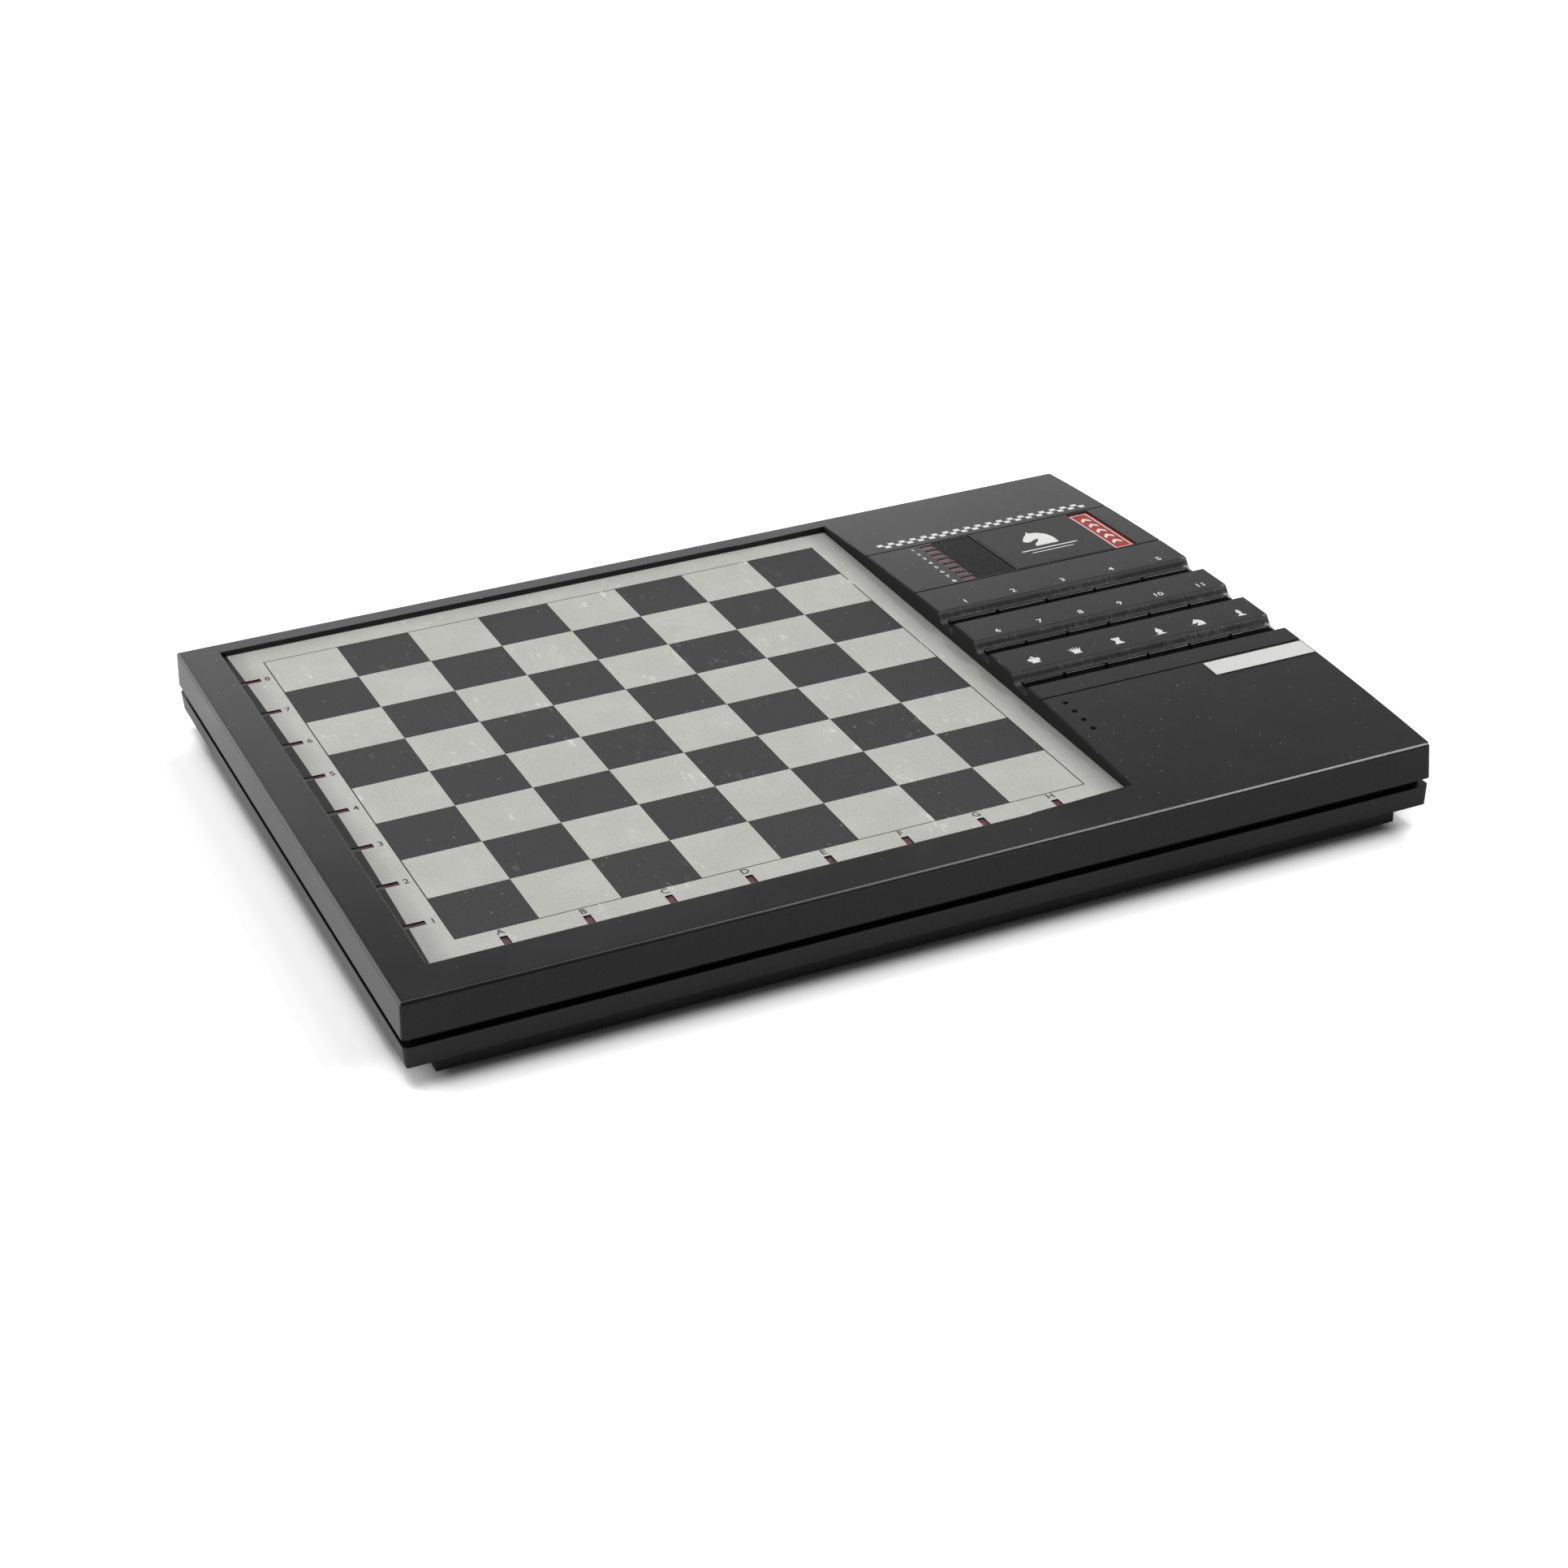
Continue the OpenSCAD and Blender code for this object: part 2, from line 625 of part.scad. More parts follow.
// printed panel with its two rows of window slots
module board_overlay() color([0.72, 0.72, 0.68]) {
    difference() {
        block([recess_x0 - overlay_lap, recess_y0 - overlay_lap, overlay_z],
            [recess_x1 + overlay_lap, recess_y1 + overlay_lap, board_z]);
        for (i = [0:n_squares - 1]) {
            mid = (i + 0.5) * square - slot_w / 2;
            block([recess_x0 - 1, field_y0 + mid, overlay_z - 1],
                [field_x0 - slot_start, field_y0 + mid + slot_w, board_z + 1]);
            block([field_x0 + mid, recess_y0 - 1, overlay_z - 1],
                [field_x0 + mid + slot_w, field_y0 - slot_start, board_z + 1]);
        }
    }
}

module membrane_layer(level, thick) {
    block([field_x0 - 4, field_y0 - 4, level], [recess_x1 + overlay_lap, recess_y1 + overlay_lap, level + thick]);
}

module membrane_top_film() color([0.8, 0.85, 0.8]) membrane_layer(film_z, film_t);

module membrane_spacer() color([0.9, 0.9, 0.85]) difference() {
    membrane_layer(film_z - film_t, film_t);
    for (i = [0:n_squares - 1]) for (j = [0:n_squares - 1])
        translate([field_x0 + (i + 0.5) * square, field_y0 + (j + 0.5) * square, film_z - 2]) cylinder(d = 16, h = 4);
}

module membrane_bottom_film() color([0.75, 0.85, 0.78]) membrane_layer(film_z - 2 * film_t, film_t);

module board_support() color([0.5, 0.36, 0.22]) membrane_layer(support_z, support_t);

// smoked strips under the window slots
module rank_window() color([0.4, 0.16, 0.2]) {
    x = field_x0 - led_inset;
    block([x - window_plan / 2, field_y0 + 5, overlay_z - 1.6], [x + 3.4, field_y0 + field - 5, overlay_z]);
}

module file_window() color([0.4, 0.16, 0.2]) {
    y = field_y0 - led_inset;
    block([field_x0 + 5, y - window_plan / 2, overlay_z - 1.6], [field_x0 + field - 5, y + 3.4, overlay_z]);
}

module rank_led_board() color([0.1, 0.35, 0.2])
    block([field_x0 - led_inset - 4.5, field_y0 + 4, led_board_z],
        [field_x0 - led_inset + 3.4, field_y0 + field - 4, led_board_z + pcb_t]);

module file_led_board() color([0.1, 0.35, 0.2])
    block([field_x0 + 4, field_y0 - led_inset - 4.5, led_board_z],
        [field_x0 + field - 4, field_y0 - led_inset + 3.4, led_board_z + pcb_t]);

// flat lamp standing on a board, its length along X
module lamp(height) {
    translate([-led_l / 2, -led_w / 2, 0]) cube([led_l, led_w, height]);
    translate([-led_l / 2 - 0.3, -led_w / 2 - 0.3, 0]) cube([led_l + 0.6, led_w + 0.6, 0.6]);
}

module rank_leds() color([0.7, 0.1, 0.1])
    for (i = [0:n_squares - 1]) translate([field_x0 - led_inset, field_y0 + (i + 0.5) * square, led_board_z + pcb_t])
        lamp(overlay_z - 1.9 - led_board_z - pcb_t);

module file_leds() color([0.7, 0.1, 0.1])
    for (i = [0:n_squares - 1]) translate([field_x0 + (i + 0.5) * square, field_y0 - led_inset, led_board_z + pcb_t])
        rotate(90) lamp(overlay_z - 1.9 - led_board_z - pcb_t);

// strip with eight windows that stand up into the console's openings
module status_window() color([0.45, 0.2, 0.25]) {
    drop = 0.25;
    for (i = [0:n_squares - 1]) hump_sheet(window_x + sheet_gap, window_x + window_w - sheet_gap,
        status_y(i) + sheet_gap, status_y(i) + window_l - sheet_gap, drop, top_t + 0.5);
    hump_sheet(window_x - 2, window_x + window_w + 2, status_y(n_squares - 1) - 1.5, status_y(0) + window_l + 1.5,
        top_t + label_gap, top_t + 1);
}

module status_leds() color([0.7, 0.1, 0.1])
    for (i = [0:n_squares - 1]) translate([window_x + window_w / 2, status_y(i) + window_l / 2, key_board_z + pcb_t]) {
        lift = hump_z(status_y(i)) - top_t - 1.3 - led_l - key_board_z - pcb_t;
        translate([0, 0, lift]) lamp(led_l);
        for (s = [-1, 1]) translate([s * 1.27 - 0.25, -0.25, 0]) cube([0.5, 0.5, lift + 0.1]);
    }

module ribbed_insert() color([0.1, 0.1, 0.1]) {
    pitch = (rib_w - 1) / rib_count;
    hump_sheet(rib_x + sheet_gap, rib_x + rib_w - sheet_gap, insert_y0 + sheet_gap, insert_y1 - sheet_gap,
        0.7, insert_t);
    for (i = [0:rib_count - 1]) {
        x = rib_x + 0.5 + (i + 0.25) * pitch;
        hump_sheet(x, x + pitch / 2, insert_y0 + 0.4, insert_y1 - 0.4, 0.1, 0.8);
    }
}

module cover_plate() color([0.15, 0.15, 0.155])
    hump_sheet(cover_x + sheet_gap, cover_x + cover_w - sheet_gap, insert_y0 + sheet_gap, insert_y1 - sheet_gap,
        -0.1, insert_t);

module accent_label() color([0.7, 0.16, 0.16])
    hump_sheet(accent_x + sheet_gap, accent_x + accent_w - sheet_gap, insert_y0 + sheet_gap, insert_y1 - sheet_gap,
        accent_depth - label_gap - label_t, accent_depth - label_gap);

module name_label() color([0.93, 0.93, 0.92])
    hump_sheet(console_x1 - 0.6 - name_label_w, console_x1 - 0.6, seam3_y - 1.5 - name_label_d, seam3_y - 1.5,
        -label_t - label_gap, -label_gap);

// one key: a low bar with a sloping front, a stem, a flange and a plunger
module key_cap(row, col) {
    y = row_y[row];
    top = hump_z(y) - key_drop;
    x = key_x0 + col * key_pitch(row);
    w = key_pitch(row) - key_gap;
    back = -key_set_back;
    front = back - key_stem_t;
    lip = back - key_top_w;
    translate([0, y, 0]) {
        along_x(x, x + w) {
            polygon([[back, flange_z - 0.5], [back, top], [lip + key_edge_r, top],
                [lip + key_edge_r, top - key_edge_r], [lip, top - key_edge_r],
                [front, top - trough_depth + key_drop], [front, flange_z - 0.5]]);
            translate([lip + key_edge_r, top - key_edge_r]) circle(key_edge_r);
        }
        block([x, -flange_front, flange_z - flange_t], [x + w, -flange_back, flange_z]);
        translate([x + w / 2, plunger_y(), flange_z - flange_t - plunger_l])
            cylinder(d = plunger_d, h = plunger_l + 0.5);
    }
}

function plunger_y() = -(flange_front + flange_back) / 2;

// rubber mats with a hollow dome under each key
module rubber_domes() color([0.75, 0.75, 0.72])
    for (r = [0:2]) {
        y = row_y[r] + plunger_y();
        z = key_board_z + pcb_t;
        difference() {
            union() {
                block([key_x0 + 0.5, y - 5, z], [lip_x - lip_t - 0.7, y + 5, z + mat_t]);
                for (c = [0:keys_in_row[r] - 1]) translate([dome_x(r, c), y, z + mat_t - 0.1])
                    cylinder(d1 = dome_d, d2 = dome_d - 3, h = dome_h + 0.1);
            }
            for (c = [0:keys_in_row[r] - 1]) translate([dome_x(r, c), y, z - 0.1])
                cylinder(d1 = dome_d - 1.6, d2 = dome_d - 4.6, h = dome_h);
        }
    }

function dome_x(r, c) = key_x0 + c * key_pitch(r) + (key_pitch(r) - key_gap) / 2;

module keypad_board() color([0.15, 0.4, 0.22]) difference() {
    block([key_x0, seam3_y + 0.5, key_board_z], [lip_x - lip_t - 0.5, seam1_y + 2, key_board_z + pcb_t]);
    for (p = board_bosses) translate([p[0], p[1], 0]) cylinder(d = screw_d + 0.3, h = 60);
}

module sounder_disc() color([0.8, 0.66, 0.3]) translate([sounder_x, sounder_y, sounder_z()]) {
    cylinder(r = sounder_r, h = sounder_t);
    translate([0, 0, -0.3]) cylinder(r = sounder_r - 4, h = 0.4);
}

module main_board() color([0.12, 0.38, 0.2]) difference() {
    translate([main_board[0], main_board[1], main_board_z]) cube([main_board[2], main_board[3], pcb_t]);
    for (p = main_holes) translate([p[0], p[1], 0]) cylinder(d = screw_d + 0.3, h = 60);
}

// flat chip with two rows of legs, standing on the main board
module chip(x, y, l, w) {
    translate([main_board[0] + x, main_board[1] + y, main_board_z + pcb_t]) {
        translate([0, 0, chip_lift]) cube([l, w, chip_h]);
        for (i = [0:floor(l / leg_pitch) - 1]) for (s = [-leg_t, w])
            translate([(i + 0.4) * leg_pitch, s, 0]) cube([leg_t, leg_t, chip_lift + chip_h / 2]);
    }
}

module processor() color([0.1, 0.1, 0.1])
    chip(chip_x, chip_y[0], main_board[2] - small_chip_l - chip_x / 2, chip_w);

module memory_chips() color([0.12, 0.12, 0.12]) {
    chip(chip_x, chip_y[1], main_board[2] - small_chip_l - 2 * chip_x, chip_w);
    chip(main_board[2] - small_chip_l - chip_x / 2, chip_y[1], small_chip_l, chip_w);
}

// crystal, capacitors and a regulator on the main board
module board_parts() color([0.6, 0.6, 0.62]) translate([main_board[0], main_board[1], main_board_z + pcb_t]) {
    translate([main_board[2] - crystal[0] - leg_pitch * 2, chip_y[0] + 2, 0]) cube(crystal);
    for (i = [0:2]) translate([chip_x + cap_d / 2 + i * cap_pitch, parts_y, 0]) cylinder(d = cap_d, h = cap_l);
    translate([main_board[2] - regulator[0] - leg_pitch * 2, parts_y - regulator[1], 0]) cube(regulator);
}

// power socket on the main board's edge, its mouth in the back wall
module power_socket() color([0.08, 0.08, 0.08]) {
    mouth = case_d / 2 - lower_step - jack_set_in;
    inside = belly_y - floor_t - 0.1;
    translate([jack_x, mouth, jack_z]) rotate([90, 0, 0]) difference() {
        union() {
            cylinder(d = jack_nose, h = mouth - inside + 0.5);
            translate([-jack_size[0] / 2, -jack_size[2] / 2, mouth - inside]) cube([jack_size[0], jack_size[2], jack_size[1]]);
        }
        translate([0, 0, -1]) cylinder(d = jack_bore, h = 15);
    }
}

function cell_x(i) = bay_x0 + 0.5 + (i + 0.5) * cell_pitch;

// cells lie front to back, every second one turned round
module battery_cells() color([0.55, 0.55, 0.58])
    for (i = [0:n_cells - 1]) translate([cell_x(i), (bay_y0 + bay_y1) / 2, floor_z + 0.2 + cell_d / 2])
        rotate([i % 2 == 0 ? -90 : 90, 0, 0]) {
            translate([0, 0, -cell_l / 2]) cylinder(d = cell_d, h = cell_l - 1.5);
            translate([0, 0, cell_l / 2 - 1.6]) cylinder(d = 5.4, h = 1.6);
        }

// bent leaf behind the flat end of each cell
module contact_leaves() color([0.75, 0.75, 0.78])
    for (i = [0:n_cells - 1]) translate([cell_x(i), (bay_y0 + bay_y1) / 2, floor_z + 0.2 + cell_d / 2])
        rotate(i % 2 == 0 ? 0 : 180) translate([-3.5, 0, 0]) along_x(0, 7) {
            a = -bay_l / 2;
            b = -cell_l / 2 - 0.1;
            polygon([[a, -5], [a + leaf_t, -5], [a + leaf_t, -2.5], [b, 0], [a + leaf_t, 3.5], [a + leaf_t, 5], [a, 5],
                [a, 3.3], [b - leaf_t - 0.2, 0], [a, -2.4]]);
        }

// plate behind the nub of each cell
module contact_plates() color([0.75, 0.75, 0.78])
    for (i = [0:n_cells - 1]) translate([cell_x(i), (bay_y0 + bay_y1) / 2, floor_z + 0.2 + cell_d / 2])
        rotate(i % 2 == 0 ? 0 : 180) translate([-4, 0, 0]) along_x(0, 8) {
            a = cell_l / 2 + 0.1;
            b = bay_l / 2;
            polygon([[b, -5], [b - leaf_t, -5], [b - leaf_t, -3.4], [a, -2.6], [a, 2.6], [b - leaf_t, 3.4],
                [b - leaf_t, 5], [b, 5], [b, 3], [a + leaf_t, 2.2], [a + leaf_t, -2.2], [b, -3]]);
        }

// flat cable from the main board up to the keypad board
module keypad_cable() color([0.6, 0.6, 0.6]) {
    x = main_board[0] + 20;
    y = main_board[1] + 4;
    z = main_board_z + pcb_t;
    block([x, y, z], [x + 24, y + 0.8, key_board_z]);
}

// flexible tail of the membrane, down to the main board
module membrane_tail() color([0.7, 0.75, 0.6]) {
    y = main_board[1] + main_board[3] - 30;
    x = recess_x1 + overlay_lap + 0.4;
    z = main_board_z + pcb_t;
    block([recess_x1 - 6, y, support_z - 0.3], [x, y + 22, support_z]);
    block([x - 0.3, y, z + 0.3], [x, y + 22, support_z]);
    block([x - 0.3, y, z], [main_board[0] + 6, y + 22, z + 0.3]);
}

// flat cable from the window lamps' boards to the main board, along the floor
module led_cable() color([0.55, 0.2, 0.2]) {
    x = field_x0 - led_inset - 2;
    y = field_y0 - led_inset + 1;
    y1 = field_y0 + field - 26;
    // link between the two lamp boards, under their corner
    block([x, y - 3, led_board_z - 0.8], [x + 4, field_y0 + 6.5, led_board_z]);
    block([x, y - 3, led_board_z - 0.8], [field_x0 + 6.5, y + 1, led_board_z]);
    block([x, y1, floor_z], [x + 0.8, y1 + 10, led_board_z]);
    block([x, y1, floor_z], [main_board[0] + 12, y1 + 10, floor_z + 0.8]);
    block([main_board[0] + 11.2, y1, floor_z], [main_board[0] + 12, y1 + 10, main_board_z]);
}

// pair of leads from the battery bay to the main board
module battery_leads() color([0.5, 0.1, 0.1])
    for (x = [bay_x0 + 22, bay_x0 + 26]) {
        y0 = bay_y1 + bay_wall;
        translate([x, y0, floor_z + 0.8]) rotate([-90, 0, 0]) cylinder(d = 1.6, h = main_board[1] + 3 - y0);
        translate([x, main_board[1] + 3, floor_z]) cylinder(d = 1.6, h = main_board_z - floor_z);
    }

module rubber_feet() color([0.2, 0.2, 0.2])
    for (p = feet) translate([p[0], p[1], 0]) cylinder(d = foot_d, h = belly_z + 0.5);

// screw with a round head, its head's underside at the origin, pointing up
module screw(length) {
    cylinder(d = screw_d - 0.4 - thread_clear, h = length);
    difference() {
        translate([0, 0, -1.8]) cylinder(d = screw_head_d, h = 1.8);
        for (a = [0, 90]) rotate(a) translate([-1.4, -0.3, -2]) cube([2.8, 0.6, 1.2]);
    }
}

module case_screws() color([0.5, 0.5, 0.5])
    for (p = case_bosses) translate([p[0], p[1], split_z - 4]) screw(4 + 7);

module board_screws() color([0.6, 0.6, 0.6]) {
    for (p = board_bosses) translate([p[0], p[1], key_board_z]) screw(pcb_t + 4.5);
    for (p = main_holes) translate([p[0], p[1], main_board_z + pcb_t]) rotate([180, 0, 0]) screw(pcb_t + 2.4);
}

upper_case();
lower_case();
battery_door();
board_overlay();
membrane_top_film();
membrane_spacer();
membrane_bottom_film();
board_support();
rank_window();
file_window();
rank_led_board();
file_led_board();
rank_leds();
file_leds();
status_window();
status_leds();
ribbed_insert();
cover_plate();
accent_label();
name_label();
keypad_board();
rubber_domes();
sounder_disc();
main_board();
processor();
memory_chips();
board_parts();
power_socket();
battery_cells();
contact_leaves();
contact_plates();
battery_leads();
keypad_cable();
membrane_tail();
led_cable();
rubber_feet();
case_screws();
board_screws();
for (row = [0:2]) for (col = [0:keys_in_row[row] - 1])
    color([0.1, 0.1, 0.105]) key_cap(row, col);
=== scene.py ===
# %% [markdown]
# # An electronic chess computer
# The solids of this machine come from a CAD model: a case, a printed board, keys, windows and what is
# inside. This lesson gives them their finishes, adds the small printed marks and lights the machine.
# Everything is in metres. X runs to the console side, Y to the back and Z up, and the machine stands on
# z = 0.

# %% Load the solids
import math
import bmesh
import bpy
from mathutils import Matrix, Vector


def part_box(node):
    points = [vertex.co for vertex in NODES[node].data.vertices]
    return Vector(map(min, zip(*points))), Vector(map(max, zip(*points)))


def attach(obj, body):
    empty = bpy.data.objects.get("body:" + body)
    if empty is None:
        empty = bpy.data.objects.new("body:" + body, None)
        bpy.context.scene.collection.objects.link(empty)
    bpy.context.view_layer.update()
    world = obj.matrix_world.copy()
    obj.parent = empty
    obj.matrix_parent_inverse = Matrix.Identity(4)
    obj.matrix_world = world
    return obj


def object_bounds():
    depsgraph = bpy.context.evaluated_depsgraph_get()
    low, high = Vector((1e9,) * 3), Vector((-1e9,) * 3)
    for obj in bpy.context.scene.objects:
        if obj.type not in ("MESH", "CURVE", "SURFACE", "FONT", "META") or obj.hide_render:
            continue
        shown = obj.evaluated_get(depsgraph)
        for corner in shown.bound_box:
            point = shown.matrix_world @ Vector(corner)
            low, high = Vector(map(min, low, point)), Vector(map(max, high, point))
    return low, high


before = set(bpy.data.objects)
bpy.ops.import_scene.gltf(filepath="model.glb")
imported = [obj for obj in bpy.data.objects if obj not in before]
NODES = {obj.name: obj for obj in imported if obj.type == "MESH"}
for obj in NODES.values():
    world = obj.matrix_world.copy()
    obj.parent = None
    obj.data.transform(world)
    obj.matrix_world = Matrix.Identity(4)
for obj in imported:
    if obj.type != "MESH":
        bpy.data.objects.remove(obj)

cad_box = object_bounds()
MM = 0.001
print(len(NODES), "nodes,", [round((b - a) / MM) for a, b in zip(*cad_box)], "mm overall")

# %% [markdown]
# ## Places that the details share
# The playing field is eight squares of 28 mm, printed on a panel that lies in a shallow recess. The
# console beside it has an arched top. Typed places would drift away from the solids after a change, so
# they are read from the solids' boxes wherever a box has them. The arch is part of a circle, and three
# numbers give it: half its chord, its rise and the radius that follows from them.

# %% Places read from the solids
SQUARE = 28 * MM
FIELD_BESIDE_WINDOW, FIELD_BEFORE_WINDOW = 4.5 * MM, 5 * MM
RECESS_DEPTH = 2 * MM
CONSOLE_BEFORE_KEY = 3 * MM

rank_low, rank_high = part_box("rank_window")
FIELD_X, FIELD_Y = rank_high.x + FIELD_BESIDE_WINDOW, rank_low.y - FIELD_BEFORE_WINDOW
BOARD_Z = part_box("board_overlay")[1].z
RIM_Z = BOARD_Z + RECESS_DEPTH
CONSOLE_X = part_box("key_1_1")[0].x - CONSOLE_BEFORE_KEY
HUMP_HALF = 136.75 * MM
HUMP_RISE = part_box("upper_case")[1].z - RIM_Z
HUMP_R = (HUMP_HALF ** 2 + HUMP_RISE ** 2) / (2 * HUMP_RISE)


def hump_z(y):
    """Height of the console's arched top at y."""
    return RIM_Z + HUMP_RISE - HUMP_R + math.sqrt(HUMP_R ** 2 - y * y)


print("field corner at", round(FIELD_X / MM, 2), round(FIELD_Y / MM, 2), "mm")
print("console from", round(CONSOLE_X / MM, 2), "mm, its arch", round(HUMP_R / MM), "mm in radius")

# %% [markdown]
# ## Camera
# The camera stands low in front of the machine and a little to its left, about a metre away. It could
# be aimed with a Track To constraint, but then it would always stand level. Its place, its turn and its
# lens were solved from the board's own grid of squares, which is a very good ruler, and so they are
# plain numbers here.

# %% Camera
CAMERA_PLACE = (-0.38316, -0.91112, 0.52331)
CAMERA_TURN = (61.88037, 1.85049, -23.90324)
SENSOR_WIDTH, LENS = 36, 70.5
CLIP_NEAR, CLIP_FAR = 0.01, 50

camera_data = bpy.data.cameras.new("camera")
camera_data.sensor_width, camera_data.lens = SENSOR_WIDTH, LENS
camera_data.clip_start, camera_data.clip_end = CLIP_NEAR, CLIP_FAR
camera = bpy.data.objects.new("camera", camera_data)
camera.location = CAMERA_PLACE
camera.rotation_euler = [math.radians(a) for a in CAMERA_TURN]
bpy.context.scene.collection.objects.link(camera)
bpy.context.scene.camera = camera
print("camera", [round(v, 3) for v in camera.location], "lens", LENS, "mm")

# %% [markdown]
# ## Shader arithmetic
# A finish is a small program of nodes. Wiring each Math node by hand hides the idea, so this class
# wraps one socket and lets Python's own operators add the nodes: `1 - mask * 0.5` makes two Math nodes.
# Every other kind of node comes from `make`, which takes the node's type, its settings and what goes
# into its sockets.

# %% The socket class
class Flow:
    """One output of a node. Arithmetic on it adds Math nodes to the same material."""

    def __init__(self, tree, socket=None):
        self.tree, self.socket = tree, socket

    def make(self, kind, settings=None, out=0, **sockets):
        """Adds a node. A socket goes by name, with _ for a space, or by number: i0 is the first."""
        node = self.tree.nodes.new("ShaderNode" + kind)
        for name, value in (settings or {}).items():
            setattr(node, name, value)
        for name, value in sockets.items():
            slot = node.inputs[int(name[1:]) if name[1:].isdigit() else name.replace("_", " ")]
            if isinstance(value, Flow):
                self.tree.links.new(value.socket, slot)
            else:
                slot.default_value = value
        return Flow(self.tree, node.outputs[out])

    def math(self, operation, a, b=0.0):
        """A Math node; the operators below and a few direct calls use it."""
        return self.make("Math", {"operation": operation}, i0=a, i1=b)

    def __add__(self, other):
        return self.math("ADD", self, other)

    def __radd__(self, other):
        return self.math("ADD", other, self)

    def __sub__(self, other):
        return self.math("SUBTRACT", self, other)

    def __rsub__(self, other):
        return self.math("SUBTRACT", other, self)

    def __mul__(self, other):
        return self.math("MULTIPLY", self, other)

    def __rmul__(self, other):
        return self.math("MULTIPLY", other, self)

    def __truediv__(self, other):
        return self.math("DIVIDE", self, other)

    def __gt__(self, other):
        return self.math("GREATER_THAN", self, other)

    def __lt__(self, other):
        return self.math("LESS_THAN", self, other)

    def __abs__(self):
        return self.math("ABSOLUTE", self)

    def wave(self, low, high):
        """0 below low, 1 above high, and a smooth rise between them."""
        return self.make("MapRange", {"interpolation_type": "SMOOTHSTEP"}, i0=self, i1=low, i2=high)


print("operators on a socket: + - * / > < and abs")

# %% [markdown]
# ## A finish and how it is put on
# Each finish is one Principled shader. Its patterns read Object coordinates, which are the same metres
# as the CAD model's, so a pattern stays on its solid when the solid moves. Colours go through a Mix
# node, because a Math node would turn them grey.

# %% Finish helpers
UPWARD = 0.6


def colour_mix(a, b, factor):
    """Colour a where factor is 0 and colour b where it is 1."""
    flow = next(v for v in (factor, a, b) if isinstance(v, Flow))
    pick = {name: (*v, 1) if isinstance(v, tuple) else v for name, v in (("i6", a), ("i7", b))}
    return flow.make("Mix", {"data_type": "RGBA"}, out=2, i0=factor, **pick)


class Finish(Flow):
    """A material with a Principled shader; place is in the object's metres, and facing is its normal."""

    def __init__(self, name, **plain):
        self.material = bpy.data.materials.new(name)
        self.material.use_nodes = True
        super().__init__(self.material.node_tree)
        self.shader = self.tree.nodes["Principled BSDF"]
        for socket, value in plain.items():
            self.put(socket.replace("_", " "), value)
        self.place = self.make("TexCoord", out=3)
        self.facing = self.make("TexCoord", out=1)

    def put(self, name, value):
        """Sets one socket of the shader, or links it."""
        if isinstance(value, Flow):
            self.tree.links.new(value.socket, self.shader.inputs[name])
        else:
            self.shader.inputs[name].default_value = (*value, 1) if isinstance(value, tuple) else value

    def axis(self, number, vector=None):
        """X, Y or Z, as 0, 1 or 2, of the place or of another vector."""
        return self.make("SeparateXYZ", out=number, Vector=vector or self.place)

    def noise(self, scale, detail=2.0, roughness=0.5, stretch=(1, 1, 1)):
        """Noise with scale features to the metre; a stretch under 1 draws them out along that axis."""
        spread = self.make("Mapping", Vector=self.place, Scale=stretch)
        return self.make("TexNoise", Vector=spread, Scale=scale, Detail=detail, Roughness=roughness)

    def bump(self, height, distance, strength=1.0, normal=None):
        """The normal of a surface that is raised by height times distance."""
        more = {"Normal": normal} if normal else {}
        return self.make("Bump", Height=height, Distance=distance, Strength=strength, **more)


def looks_up(f):
    """1 on faces that look up, and 0 elsewhere."""
    return f.axis(2, f.facing) > UPWARD


def dress(material, *names):
    """Gives CAD nodes, by name, one material."""
    for name in names:
        NODES[name].data.materials.clear()
        NODES[name].data.materials.append(material)
    print(material.name, "on", ", ".join(names))


print("finish helpers are ready")

# %% [markdown]
# ## Dust specks
# Dust settles on the faces that look up. Each speck could be a tiny mesh, but a pattern costs nothing:
# a speck is the middle of a small cell of a Voronoi pattern, and a White Noise node keeps only a few of
# the cells.

# %% Specks
def specks(f, scale, size, share):
    """Round specks on faces that look up: scale cells to the metre, of which a share bears a speck.

    A speck's radius is size, as a part of its cell. Some are bright and some are faint.
    """
    cells = {"voronoi_dimensions": "2D", "feature": "F1"}
    near = f.make("TexVoronoi", cells, Vector=f.place, Scale=scale)
    cell = f.make("TexVoronoi", cells, out=2, Vector=f.place, Scale=scale)
    lot = f.make("TexWhiteNoise", {"noise_dimensions": "2D"}, Vector=cell)
    bright = f.math("MAXIMUM", 1 - lot / share, 0.0)
    return (1 - near.wave(size * 0.5, size)) * bright * looks_up(f)


print("specks are ready")

# %% [markdown]
# ## The join of the rims and the console
# In front and behind, the rims rise over about 40 mm to the arched console. The solid makes this with
# straight ramps, whose light would break in a fold where they meet the arch. Finer solids would mend
# it, but a bent normal does it without touching them: along the ramps the normal leans more and more to
# y / radius, as it does on the arch.

# %% Soft join
RAMP = 40 * MM
RAMP_OVERLAP = 0.5 * MM
NEARLY_UP = 0.99


def toward_console(f):
    """0 on the rim, 1 on the console, and a soft change along the ramps between them."""
    return f.axis(0).wave(CONSOLE_X - RAMP, CONSOLE_X)


